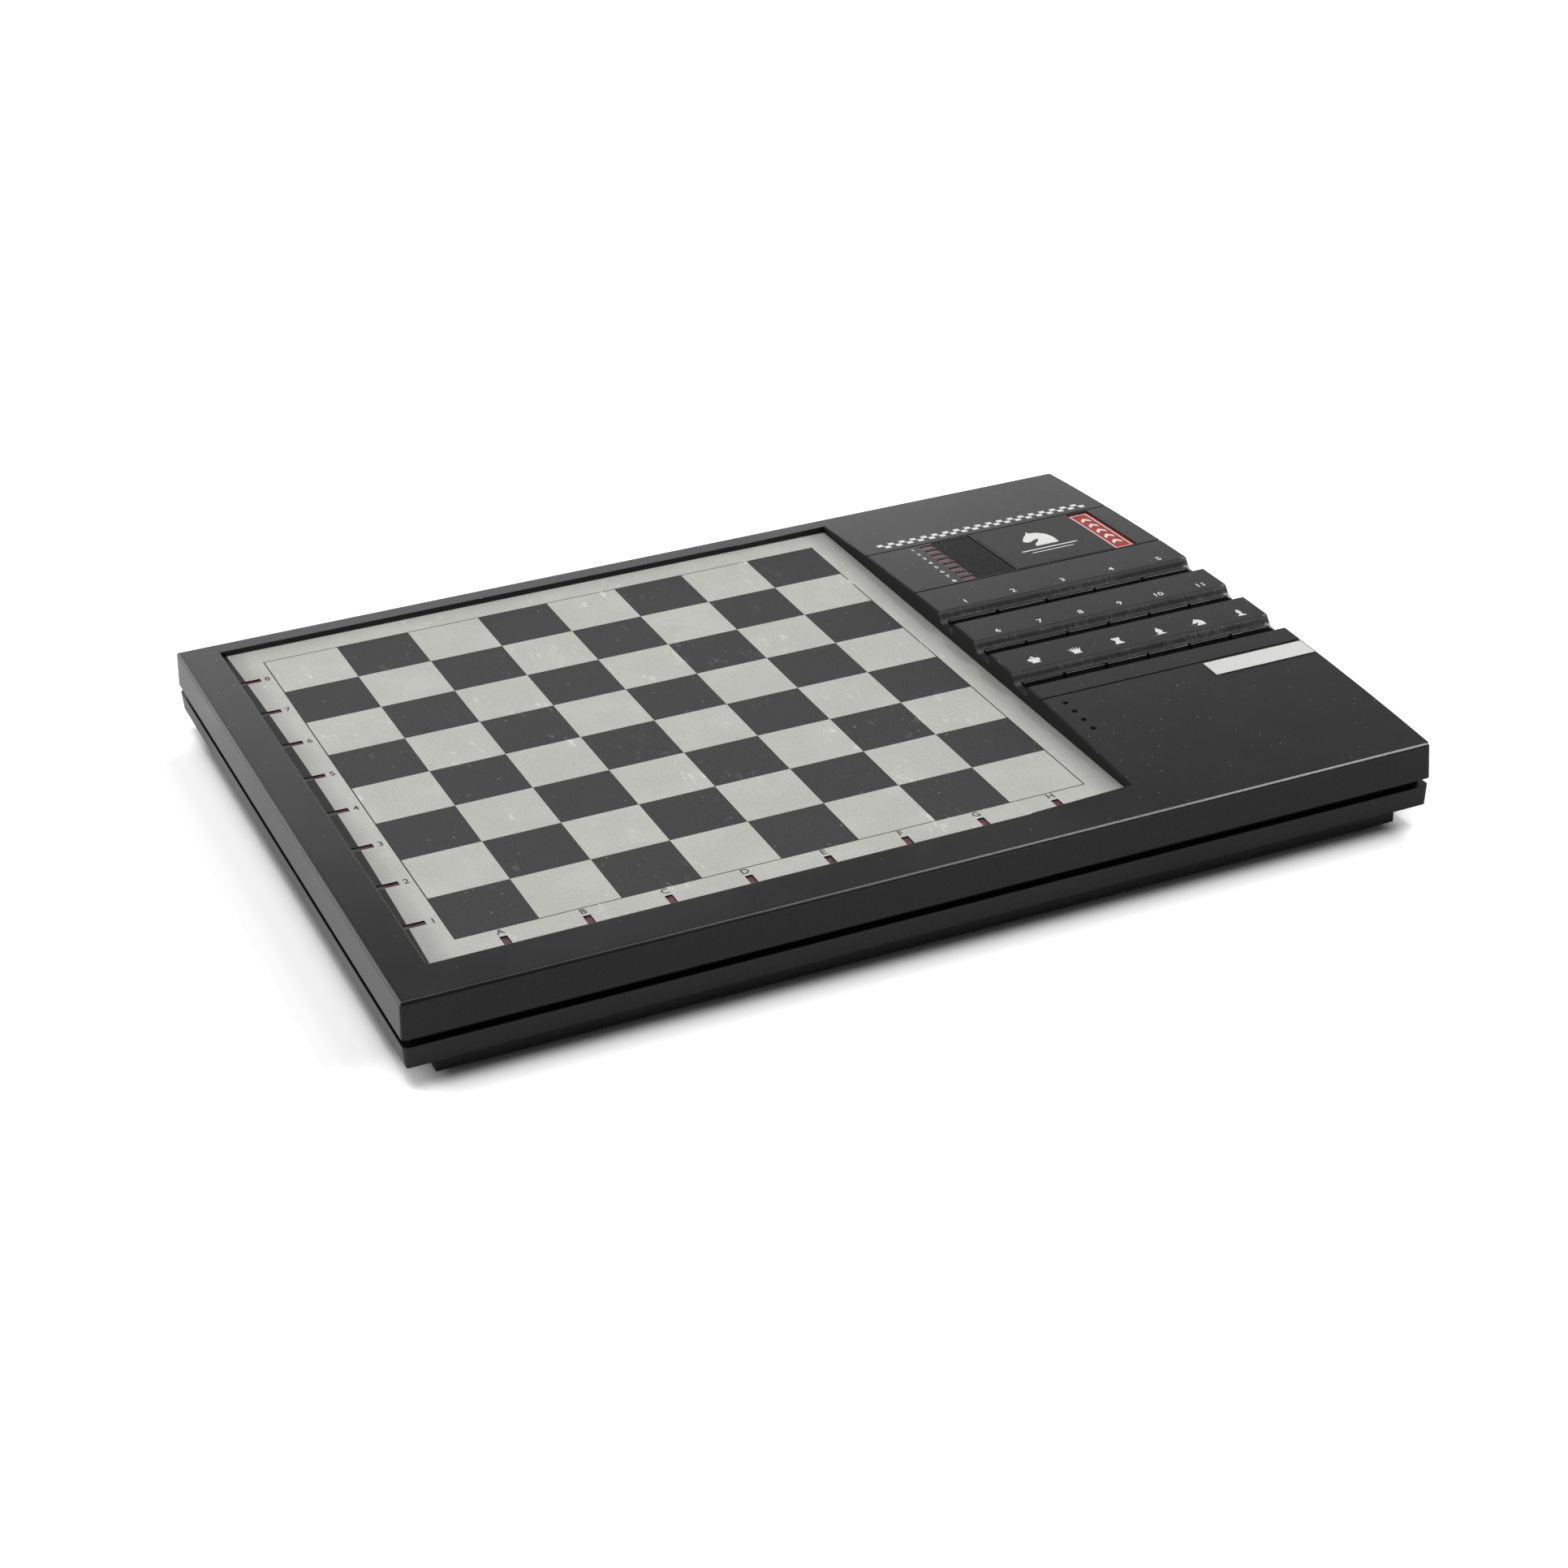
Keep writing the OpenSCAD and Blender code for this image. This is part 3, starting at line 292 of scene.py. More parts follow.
def smooth_join(f):
    """Normals that turn softly from the rim to the arch, in the world's directions."""
    x, up = f.axis(0), f.axis(2, f.facing)
    ramp = (x > CONSOLE_X - RAMP) * (x < CONSOLE_X + RAMP_OVERLAP) * (up > NEARLY_UP)
    arch = f.axis(1) * toward_console(f) / HUMP_R
    level = f.make("CombineXYZ", i0=f.axis(0, f.facing) * (1 - ramp),
                   i1=f.axis(1, f.facing) * (1 - ramp) + arch * ramp, i2=up)
    turned = {"vector_type": "NORMAL", "convert_from": "OBJECT", "convert_to": "WORLD"}
    return f.make("VectorTransform", turned, i0=level)


print("join from", round((CONSOLE_X - RAMP) / MM, 1), "to", round(CONSOLE_X / MM, 1), "mm")

# %% [markdown]
# ## Satin black plastic
# The case is moulded in black plastic. Its rim is fairly smooth and the console's top has a fine
# texture, so the console is a little rougher. Handling polishes both in patches. One function makes the
# blacks of the case, the keys and the inserts, because they differ only in tone, roughness, dust, and
# wear with painted sheen. The moulded texture is far too fine to model, so it is a very fine noise that
# only bends the light.

# %% Black plastic
# the pale grey of the scoops is partly wear and partly painted sheen
DUST_GREY, RUBBED_SHEEN_GREY = (0.5, 0.5, 0.48), (0.28, 0.28, 0.285)
DARK_TINT, PALE_TINT = (0.8, 0.8, 0.82), (1.3, 1.3, 1.3)
GRAIN_DEPTH = 0.03 * MM
HAZE = 0.02
WALL_DEPTH = 2 * MM


def black_plastic(name, tone, rough, dust=1.0, texture=1.0, wear_and_sheen=None, polish=None):
    """Black moulded plastic; one function says where it is rubbed pale, partly as painted sheen, and
    polish where hands made it shine.
    """
    f = Finish(name, Specular_IOR_Level=0.3, Coat_Roughness=0.26, Coat_IOR=1.8)
    patches = f.noise(14, 3).wave(0.3, 0.75)
    console = toward_console(f)
    mottle = f.noise(900, 4, 0.7).wave(0.3, 0.75)
    haze = f.noise(55, 5, 0.7).wave(0.45, 0.85) * looks_up(f) * (HAZE * dust)
    small = specks(f, 420, 0.1, (console * 0.03 + 0.02) * dust)
    large = specks(f, 130, 0.035, 0.06 * dust)
    speck = small + large
    dark = tuple(tone * c for c in DARK_TINT)
    pale = tuple(tone * c for c in PALE_TINT)
    shade = colour_mix(dark, pale, mottle)
    shade = colour_mix(shade, DUST_GREY, speck * 0.9 + haze * 0.6)
    # rubbed pale, partly wear and partly painted sheen
    if wear_and_sheen:
        rubbed_and_sheen = wear_and_sheen(f)
        shade = colour_mix(shade, RUBBED_SHEEN_GREY, rubbed_and_sheen)
        patches = patches + rubbed_and_sheen
    if polish:
        f.put("Coat Weight", polish(f))
    f.put("Base Color", shade)
    # the console's wall along the board is matt, so it shows no reflection of the pale squares
    wall = (f.axis(0, f.facing) < -0.5) * (abs(f.axis(0) - CONSOLE_X) < WALL_DEPTH)
    f.put("Roughness", patches * 0.06 + console * 0.13 + (rough - 0.03) + speck * 0.3 + wall * 0.5)
    f.put("Normal", f.bump(f.noise(2600, 2), GRAIN_DEPTH * texture, 0.5, smooth_join(f)))
    return f.material


print("black plastic is ready")

# %% [markdown]
# ## Wear and painted sheen behind the keys, and polished edges
# Each key row has a finger scoop behind it. Nails and fingertips rub the scoops pale in short upright
# strokes, more in some places than in others, and the pale colour stands in for the sheen of the
# rubbed plastic too, so it is partly painted sheen. The scoops have no node of their own, so arithmetic
# finds them: they are the faces of the console that look forward and lie 0.25 to 3.6 mm below the arch,
# whose height is nearly a parabola. Hands polish the rounded outer edges too, which a clear coat over
# the black shows well.

# %% Where the case is rubbed, painted with sheen, and polished
SCOOP_TOP, SCOOP_BOTTOM, SCOOP_HALF = 0.25 * MM, 3.6 * MM, 100 * MM
LIP_TOP, LIP_BOTTOM = 0.5 * MM, 1.6 * MM
OUTER_X, OUTER_Y = 183 * MM, 136 * MM
POLISH_START, POLISH_FULL = -190 * MM, 35 * MM
EDGE_LOW, EDGE_HIGH = 0.25, 0.985


def scoop_wear_and_sheen(f):
    """Pale strokes in the finger scoops, partly wear and partly painted sheen, paler along their upper
    lip.
    """
    y = f.axis(1)
    depth = RIM_Z + HUMP_RISE - y * y / (2 * HUMP_R) - f.axis(2)
    level = (depth > SCOOP_TOP) * (depth < SCOOP_BOTTOM)
    scoop = level * (f.axis(0) > CONSOLE_X) * (abs(y) < SCOOP_HALF)
    forward = f.axis(1, f.facing) < -0.25
    strokes = f.noise(1100, 4, 0.7, (1, 0.45, 0.45)).wave(0.35, 0.85)
    places = f.noise(75, 3, 0.6).wave(0.4, 0.65) * 0.75 + 0.25
    lip = 1 - depth.wave(LIP_TOP, LIP_BOTTOM)
    return scoop * forward * (strokes * places * 0.5 + lip * 0.26 + 0.06)


def edges(f):
    """Edges that are rounded: their normals lie between up and outward."""
    up = f.axis(2, f.facing)
    return (up > EDGE_LOW) * (up < EDGE_HIGH)


def round_edges(f):
    """The rounded outer edges of the case, polished more towards the console, where hands rest."""
    outer = f.math("MAXIMUM", abs(f.axis(0)) - OUTER_X, abs(f.axis(1)) - OUTER_Y) > 0
    return outer * edges(f) * (f.axis(0).wave(POLISH_START, POLISH_FULL) * 0.85 + 0.15)


def key_edges(f):
    """Rounded edges of a key, polished by fingertips in patches."""
    return edges(f) * (f.noise(60, 2).wave(0.35, 0.65) * 0.35 + 0.1)


dress(black_plastic("satin_black", 0.01, 0.24, wear_and_sheen=scoop_wear_and_sheen, polish=round_edges), "upper_case")
dress(black_plastic("base_black", 0.013, 0.34), "lower_case", "battery_door")

# %% [markdown]
# ## The printed panel
# The squares are printed on a grey plastic film, so they are colour and not shape. An image could hold
# them, but a checker of this kind is only arithmetic: count the squares along X and Y, add the counts,
# and look whether the sum is even. A fine line runs round the field, the film has a grain, and the cut
# edges of the window slots are black. Along the left a bowed strip is painted dark grey as the rim's
# shadow, and the margins are painted darker beside the rim and the console, where shade falls.

# %% Panel finish
FILM_PALE, FILM_PALEST = (0.39, 0.396, 0.362), (0.58, 0.586, 0.545)
FILM_BLACK, FILM_BLACKEST = (0.042, 0.042, 0.042), (0.022, 0.022, 0.022)
LINE_BLACK, CUT_BLACK = (0.015, 0.015, 0.015), (0.008, 0.008, 0.008)
SCUFF_GREY, DIRT_BROWN = (0.78, 0.78, 0.75), (0.12, 0.11, 0.1)
# pale flecks for the dark squares, and the grey of the margins' painted shade
FLECK_GREY, WALL_SHADE_GREY = (0.36, 0.36, 0.35), (0.14, 0.14, 0.14)
# the dark grey of the rim's painted shadow, on the film and on the windows
RIM_SHADOW_GREY = (0.075, 0.075, 0.075)
LINE_WIDTH = 0.45 * MM
FILM_GRAIN = 0.02 * MM
# a bowed strip along the film's left edge is painted dark grey as the rim's shadow
SHADOW_BOW_MIDDLE, SHADOW_BOW_HALF, SHADOW_BOW_DEPTH, RIM_BESIDE_FIELD = 15 * MM, 125 * MM, 2.1 * MM, 11.7 * MM
# the margins are painted darker beside the rim and the console, where shade falls
SHADE_BY_RIM, SHADE_BY_CONSOLE = (FIELD_X - 10 * MM, FIELD_X - 2 * MM), (CONSOLE_X - 12 * MM, CONSOLE_X)


def rim_shadow_strip(f):
    """1 in a bowed strip along the film's left edge, broadest in the middle, where the rim's shadow is
    painted; 0 elsewhere.
    """
    bow = (f.axis(1) - SHADOW_BOW_MIDDLE) / SHADOW_BOW_HALF
    return f.axis(0) < (1 - bow * bow) * SHADOW_BOW_DEPTH + (FIELD_X - RIM_BESIDE_FIELD)


def panel_print():
    """The film with its squares, its line, what years of play left on it, and painted shade by the
    walls.
    """
    f = Finish("printed_film", Specular_IOR_Level=0.3)
    x = (f.axis(0) - FIELD_X) / SQUARE
    y = (f.axis(1) - FIELD_Y) / SQUARE
    count = f.math("FLOOR", x) + f.math("FLOOR", y)
    reach = f.math("MAXIMUM", abs(x - 4), abs(y - 4))
    inside = reach < 4
    even = abs(f.math("MODULO", count, 2.0)) < 0.5
    dark = even * inside
    line = (reach > 4) * (reach < 4 + LINE_WIDTH / SQUARE)
    grain = f.noise(2400, 3, 0.7)
    cloud = f.noise(45, 4, 0.6).wave(0.35, 0.75)
    pale = colour_mix(FILM_PALE, FILM_PALEST, grain.wave(0.3, 0.7) * 0.75 + cloud * 0.25)
    ink = colour_mix(FILM_BLACKEST, FILM_BLACK, grain.wave(0.35, 0.7))
    shade = colour_mix(colour_mix(pale, ink, dark), LINE_BLACK, line)
    # pale scuffs where pieces were dragged, dark specks of dirt and pale flecks on the dark squares
    scuff = f.noise(330, 6, 0.75, (1, 0.35, 1)).wave(0.56, 0.68) * f.noise(34, 2).wave(0.51, 0.62)
    shade = colour_mix(shade, SCUFF_GREY, scuff * (0.8 - dark * 0.7))
    shade = colour_mix(shade, DIRT_BROWN, specks(f, 150, 0.06, 0.05) * (1 - dark) * 0.7)
    shade = colour_mix(shade, FLECK_GREY, specks(f, 260, 0.12, 0.06) * dark * 0.6)
    # painted shade: the margins turn darker beside the rim and the console, where shade falls
    wall_shade = (1 - f.axis(0).wave(*SHADE_BY_RIM)) * 0.3
    wall_shade = wall_shade + f.axis(0).wave(*SHADE_BY_CONSOLE) * 0.6
    shade = colour_mix(shade, WALL_SHADE_GREY, wall_shade * (1 - inside))
    # cut edges are black and the rim's painted shadow is dark grey; where both meet, grey wins
    cut, rim_shade = f.axis(2, f.facing) < 0.5, rim_shadow_strip(f)
    black = colour_mix(CUT_BLACK, RIM_SHADOW_GREY, cut * rim_shade)
    f.put("Base Color", colour_mix(shade, black, f.math("MAXIMUM", cut, rim_shade)))
    f.put("Roughness", 0.62 - scuff * 0.1)
    f.put("Normal", f.bump(grain, FILM_GRAIN, 0.5))
    return f.material


dress(panel_print(), "board_overlay")
print("printed squares of", SQUARE / MM, "mm")

# %% [markdown]
# ## Windows, keys, labels and inserts
# These are small, so each has a short finish. The windows are smoked mauve plastic with a low gloss.
# The keys are nearly the same black as the case but worn smooth by fingers, the ribbed insert is a
# little darker and the cover plate is as matt as the base. The red and white labels are foil. One plain
# colour would look like paint on a screen, so `simple` lets every colour vary a little at two scales.

# %% A simple finish
SMALL_GRAIN = 0.01 * MM
CLOUD_SIZE = 25


def simple(name, colour, rough, vary=0.1, scale=900, **plain):
    """A finish whose tone varies by the share vary, finely and in clouds."""
    f = Finish(name, **plain)
    mottle = f.noise(scale, 3).wave(0.3, 0.7)
    cloud = f.noise(scale / CLOUD_SIZE, 3).wave(0.3, 0.7)
    low = tuple(c * (1 - vary) for c in colour)
    high = tuple(min(1, c * (1 + vary)) for c in colour)
    f.put("Base Color", colour_mix(low, high, mottle * 0.6 + cloud * 0.4))
    f.put("Roughness", mottle * 0.06 + (rough - 0.03))
    f.put("Normal", f.bump(mottle, SMALL_GRAIN, 0.4))
    return f.material


print("clouds are", CLOUD_SIZE, "times as big as the grain")

# %% Windows, keys, labels and inserts
MAUVE_DARK, MAUVE_PALE = (0.075, 0.028, 0.038), (0.125, 0.052, 0.066)


def smoked_window():
    """Mauve plastic; in the strip along the rim it takes the rim's painted shadow, as the film does."""
    f = Finish("smoked_window", Specular_IOR_Level=0.35)
    cloud = f.noise(400, 4).wave(0.3, 0.7)
    mauve = colour_mix(MAUVE_DARK, MAUVE_PALE, cloud)
    # the rim's painted shadow also darkens the windows' left ends
    f.put("Base Color", colour_mix(mauve, RIM_SHADOW_GREY, rim_shadow_strip(f)))
    f.put("Roughness", cloud * 0.08 + 0.26)
    return f.material


keys = [name for name in NODES if name.startswith("key_")]
dress(smoked_window(), "rank_window", "file_window", "status_window")
dress(black_plastic("key_black", 0.009, 0.2, dust=0.3, texture=0.4, polish=key_edges), *keys)
dress(black_plastic("insert_black", 0.007, 0.3, dust=0.3), "ribbed_insert")
dress(black_plastic("cover_black", 0.013, 0.34), "cover_plate")
dress(simple("label_red", (0.36, 0.045, 0.035), 0.5, Specular_IOR_Level=0.1), "accent_label")
dress(simple("label_white", (0.68, 0.68, 0.67), 0.4, vary=0.04), "name_label")

# %% [markdown]
# ## What is inside and underneath
# Circuit boards, lamps, cells and leads are hidden inside, and the feet and screws are underneath. Each
# has its own finish, so that the model can be taken apart without a surprise. The green boards show
# tracks from a brick pattern and solder pads from a Voronoi pattern, which is enough for a board that
# is seen in passing.

# %% Circuit boards
BOARD_DARK, BOARD_PALE, SOLDER = (0.02, 0.12, 0.05), (0.035, 0.2, 0.085), (0.6, 0.58, 0.5)
TRACK_HEIGHT = 0.03 * MM


def circuit_board():
    """Green lacquer over tracks, with bare pads."""
    f = Finish("circuit_green", Specular_IOR_Level=0.5)
    tracks = f.make("TexBrick", {"offset": 0.3, "squash": 1.6}, out=1, Vector=f.place, Scale=160,
                    Mortar_Size=0.012, Mortar_Smooth=0.1)
    lacquer = f.make("TexVoronoi", {"distance": "MANHATTAN"}, Vector=f.place, Scale=240).wave(0.16, 0.2)
    green = colour_mix(BOARD_DARK, BOARD_PALE, tracks)
    pads = 1 - lacquer
    f.put("Base Color", colour_mix(SOLDER, green, lacquer))
    f.put("Metallic", pads * 0.8)
    f.put("Roughness", 0.35 - pads * 0.1)
    f.put("Normal", f.bump(tracks, TRACK_HEIGHT, 0.5))
    return f.material


dress(circuit_board(), "rank_led_board", "file_led_board", "keypad_board", "main_board")

# %% Films, rubber, leads and metal
FILMS = ["membrane_top_film", "membrane_spacer", "membrane_bottom_film", "membrane_tail"]
INSIDE = {
    "clear_film": ((0.55, 0.6, 0.54), 0.25, FILMS),
    "pressed_board": ((0.2, 0.115, 0.055), 0.8, ["board_support"]),
    "red_lamp": ((0.5, 0.02, 0.015), 0.15, ["rank_leds", "file_leds", "status_leds"]),
    "dome_rubber": ((0.5, 0.5, 0.48), 0.6, ["rubber_domes"]),
    "chip_black": ((0.018, 0.018, 0.018), 0.55, ["processor", "memory_chips"]),
    "socket_black": ((0.012, 0.012, 0.012), 0.4, ["power_socket"]),
    "flat_lead": ((0.3, 0.28, 0.26), 0.5, ["keypad_cable", "led_cable"]),
    "red_lead": ((0.4, 0.02, 0.02), 0.4, ["battery_leads"]),
    "foot_rubber": ((0.02, 0.02, 0.02), 0.8, ["rubber_feet"]),
}
METAL = {
    "sounder_brass": ((0.72, 0.55, 0.28), 0.35, ["sounder_disc"]),
    "contact_nickel": ((0.66, 0.64, 0.6), 0.3, ["contact_leaves", "contact_plates"]),
    "screw_zinc": ((0.42, 0.42, 0.43), 0.38, ["case_screws", "board_screws"]),
    "tin_cans": ((0.55, 0.55, 0.57), 0.35, ["board_parts"]),
}
for name, (colour, rough, names) in INSIDE.items():
    dress(simple(name, colour, rough), *names)
for name, (colour, rough, names) in METAL.items():
    dress(simple(name, colour, rough, vary=0.15, Metallic=1.0), *names)

# %% [markdown]
# ## Cell jackets
# The six cells wear a printed jacket: dark, with a coppery end, and the steel shows bare at both ends.
# They lie side by side along Y in one node. So one share of the way along the row's box tells jacket
# from steel, and no second material is needed. The coppery end is drawn at the back of every cell.

# %% Cells
JACKET_START, COPPER_START, JACKET_END = 0.02, 0.74, 0.955
JACKET_DARK, JACKET_COPPER, CELL_STEEL = (0.02, 0.022, 0.026), (0.5, 0.24, 0.1), (0.6, 0.6, 0.6)


def cell_jacket():
    """Dark printed jacket with a coppery end, and bare steel at both ends."""
    f = Finish("cell_jacket", Specular_IOR_Level=0.5)
    low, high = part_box("battery_cells")
    along = (f.axis(1) - low.y) / (high.y - low.y)
    copper = (along > COPPER_START) * (along < JACKET_END)
    steel = 1 - (along > JACKET_START) * (along < JACKET_END)
    fine = f.noise(1200, 2).wave(0.3, 0.7)
    shade = colour_mix(JACKET_DARK, JACKET_COPPER, copper)
    f.put("Base Color", colour_mix(shade, CELL_STEEL, steel))
    f.put("Metallic", steel * 0.9 + copper * 0.6)
    f.put("Roughness", fine * 0.08 + 0.26)
    return f.material


dress(cell_jacket(), "battery_cells")

# %% [markdown]
# ## Printed marks
# The marks on the machine are screen printed, so they are flat and have crisp edges. Numbers and
# letters start as text objects. A text object is turned into a mesh first and only then moved into
# place, because the export wants every piece's place in its mesh. Ink from a screen print has a real
# thickness of a few hundredths of a millimetre, which the extrude gives. On the console the marks
# follow the arch, so every vertex is lifted to the arch's height at its own y.

# %% Ink pieces
INK = 0.02 * MM
ink_white = simple("ink_white", (0.72, 0.72, 0.71), 0.5, scale=3000)
ink_black = simple("ink_black", (0.03, 0.03, 0.03), 0.5, scale=3000)


def new_piece(name, mesh, material, body="root"):
    """A visible piece from a mesh; it moves with body and its mesh holds its finish."""
    piece = bpy.data.objects.new(name, mesh)
    bpy.context.scene.collection.objects.link(piece)
    mesh.materials.clear()
    mesh.materials.append(material)
    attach(piece, body)
    print(name, "has", len(mesh.polygons), "faces")


def gather(meshes):
    """One mesh from several."""
    bm = bmesh.new()
    for mesh in meshes:
        bm.from_mesh(mesh)
        bpy.data.meshes.remove(mesh)
    bmesh.ops.remove_doubles(bm, verts=bm.verts, dist=1e-7)
    whole = bpy.data.meshes.new("marks")
    bm.to_mesh(whole)
    bm.free()
    return whole


print("ink is", 2 * INK / MM, "mm thick")

# %% Text as a mesh
BOLD, ARC_STEPS = 0.012, 4


def curve_mesh(curve):
    """The mesh of a text or flat curve, which is then deleted."""
    holder = bpy.data.objects.new("holder", curve)
    bpy.context.scene.collection.objects.link(holder)
    mesh = bpy.data.meshes.new_from_object(holder.evaluated_get(bpy.context.evaluated_depsgraph_get()))
    bpy.data.objects.remove(holder)
    bpy.data.curves.remove(curve)
    return mesh


def text_mesh(words, height, stretch=1.0):
    """Text centred on the origin, its capitals as high as height."""
    curve = bpy.data.curves.new("words", "FONT")
    curve.body, curve.extrude = words, INK
    curve.resolution_u, curve.offset = ARC_STEPS, BOLD
    mesh = curve_mesh(curve)
    xs, ys = [v.co.x for v in mesh.vertices], [v.co.y for v in mesh.vertices]
    middle = Vector(((min(xs) + max(xs)) / 2, (min(ys) + max(ys)) / 2, 0))
    size = height / (max(ys) - min(ys))
    flat = Matrix.Diagonal((size * stretch, size, 1, 1))
    mesh.transform(flat @ Matrix.Translation(-middle))
    return mesh


print("text is ready")

# %% Laying marks down
def lay(mesh, x, y, z):
    """Lays a mark on a level face at height z."""
    mesh.transform(Matrix.Translation((x, y, z + INK)))
    return mesh


def lay_on_hump(mesh, x, y, lift=0.0):
    """Lays a mark on the arched console, or lift above it."""
    mesh.transform(Matrix.Translation((x, y, INK + lift)))
    for v in mesh.vertices:
        v.co.z += hump_z(v.co.y)
    return mesh


print("the arch is", round(hump_z(0) / MM, 2), "mm high at its top")

# %% [markdown]
# ## Board coordinates
# The margins name the ranks with digits and the files with letters, one beside the middle of each
# square. They could be part of the panel's finish, but letters are hard to draw with arithmetic, so
# they are ink on top.

# %% Digits and letters
DIGIT_HEIGHT, LETTER_HEIGHT, NARROW = 3.2 * MM, 3.1 * MM, 0.95
DIGIT_BESIDE, LETTER_BEFORE = 2.8 * MM, 2.4 * MM

digits, letters = [], []
for n in range(8):
    along = (n + 0.5) * SQUARE
    digit = text_mesh(str(n + 1), DIGIT_HEIGHT, NARROW)
    letter = text_mesh("ABCDEFGH"[n], LETTER_HEIGHT, NARROW)
    digits.append(lay(digit, FIELD_X - DIGIT_BESIDE, FIELD_Y + along, BOARD_Z))
    letters.append(lay(letter, FIELD_X + along, FIELD_Y - LETTER_BEFORE, BOARD_Z))
new_piece("coordinates", gather(digits + letters), ink_black)

# %% [markdown]
# ## Key labels
# The keys themselves bear no print: the rows are marked on the strips behind them. The first two rows
# get plain numbers, and so do the eight status windows. The third row sets pieces on the board, so its
# marks are the six chessmen, drawn as simple outlines on a grid of tenths and filled by Blender as flat
# curves.

# %% Numbers behind the keys and beside the windows
TROUGH_BEHIND_KEY = 1.2 * MM
row_back = [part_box(f"key_{row}_1")[1].y + TROUGH_BEHIND_KEY for row in (1, 2, 3)]
NUMBER_HEIGHT, STATUS_HEIGHT, BROAD = 2.9 * MM, 2.3 * MM, 1.1
# of each row: its first number, how far its numbers stand behind it, and their places along X in mm
NUMBER_ROWS = [
    (1, 3.9 * MM, [91.8, 112.1, 133.2, 154.3, 175.2]),
    (6, 4.1 * MM, [90.4, 108.0, 125.0, 141.6, 158.6, 176.6]),
]
STATUS_STEP, STATUS_MARGIN, STATUS_HALF, STATUS_BESIDE = 5.15 * MM, 1.5 * MM, 1.7 * MM, 1.5 * MM

numbers = []
for (first, behind, places), back in zip(NUMBER_ROWS, row_back):
    for i, x in enumerate(places):
        number = text_mesh(str(first + i), NUMBER_HEIGHT, BROAD)
        numbers.append(lay_on_hump(number, x * MM, back + behind))
status_low, status_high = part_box("status_window")
status_x, status_first = status_low.x - STATUS_BESIDE, status_high.y - STATUS_MARGIN - STATUS_HALF
for i in range(8):
    number = text_mesh(str(i + 1), STATUS_HEIGHT, BROAD)
    numbers.append(lay_on_hump(number, status_x, status_first - i * STATUS_STEP))
print(len(numbers), "numbers")
new_piece("key_numbers", gather(numbers), ink_white)

# %% Chessmen behind the third row
MEN = {
    "king": [(2, 0), (8, 0), (8, 1.2), (7.3, 1.6), (9.6, 4.6), (9, 6.6), (7, 7.2), (5.6, 6.4),
             (5.5, 7.6), (6.6, 7.6), (6.6, 8.6), (5.5, 8.6), (5.5, 9.8), (4.5, 9.8), (4.5, 8.6),
             (3.4, 8.6), (3.4, 7.6), (4.5, 7.6), (4.4, 6.4), (3, 7.2), (1, 6.6), (0.4, 4.6),
             (2.7, 1.6), (2, 1.2)],
    "queen": [(2, 0), (8, 0), (8, 1.2), (7.4, 1.7), (9.8, 8), (7.4, 4.9), (7.3, 9), (5.6, 5.2), (5, 9.8),
              (4.4, 5.2), (2.7, 9), (2.6, 4.9), (0.2, 8), (2.6, 1.7), (2, 1.2)],
    "rook": [(1.6, 0), (8.4, 0), (8.4, 1.3), (7.2, 2), (6.8, 6), (8, 7), (8, 9.4), (6.6, 9.4),
             (6.6, 8.4), (5.7, 8.4), (5.7, 9.4), (4.3, 9.4), (4.3, 8.4), (3.4, 8.4), (3.4, 9.4),
             (2, 9.4), (2, 7), (3.2, 6), (2.8, 2), (1.6, 1.3)],
    "bishop": [(1.4, 0), (8.6, 0), (8.6, 1.1), (6.4, 1.8), (6.9, 3), (7.7, 5), (6.6, 7.2), (5.6, 8.3),
               (5.7, 9.4), (5, 9.9), (4.3, 9.4), (4.4, 8.3), (3.4, 7.2), (2.3, 5), (3.1, 3), (3.6, 1.8),
               (1.4, 1.1)],
    "knight": [(2.2, 0), (8.8, 0), (9, 3.4), (8.3, 6.4), (6.4, 8.4), (4.6, 8.9), (4.1, 9.9), (3.5, 8.6),
               (2, 7), (0.5, 4.5), (1, 3.4), (2.1, 3.1), (3.4, 4.1), (5, 4.5), (4.2, 3), (2.6, 1.4)],
    "pawn": [(2, 0), (8, 0), (8, 1.2), (6.4, 2.2), (5.9, 4.6), (7, 5.2), (6.9, 6), (6.2, 6.3),
             (6.6, 7.6), (5.9, 9), (5, 9.4), (4.1, 9), (3.4, 7.6), (3.8, 6.3), (3.1, 6), (3, 5.2),
             (4.1, 4.6), (3.6, 2.2), (2, 1.2)],
}
MAN_HEIGHT, MAN_BEHIND = 5.4 * MM, 5.8 * MM
MAN_PLACES = [90.7, 107.7, 125.1, 142.5, 159.1, 176.8]


def outline_mesh(points, height):
    """A filled flat outline, given in tenths of its height and centred on the origin."""
    curve = bpy.data.curves.new("outline", "CURVE")
    curve.dimensions, curve.fill_mode, curve.extrude = "2D", "BOTH", INK
    spline = curve.splines.new("POLY")
    spline.points.add(len(points) - 1)
    for point, (x, y) in zip(spline.points, points):
        point.co = ((x - 5) * height / 10, (y - 5) * height / 10, 0, 1)
    spline.use_cyclic_u = True
    return curve_mesh(curve)


men = [lay_on_hump(outline_mesh(points, MAN_HEIGHT), x * MM, row_back[2] + MAN_BEHIND)
       for points, x in zip(MEN.values(), MAN_PLACES)]
print("chessmen:", ", ".join(MEN))
new_piece("chessmen_marks", gather(men), ink_white)

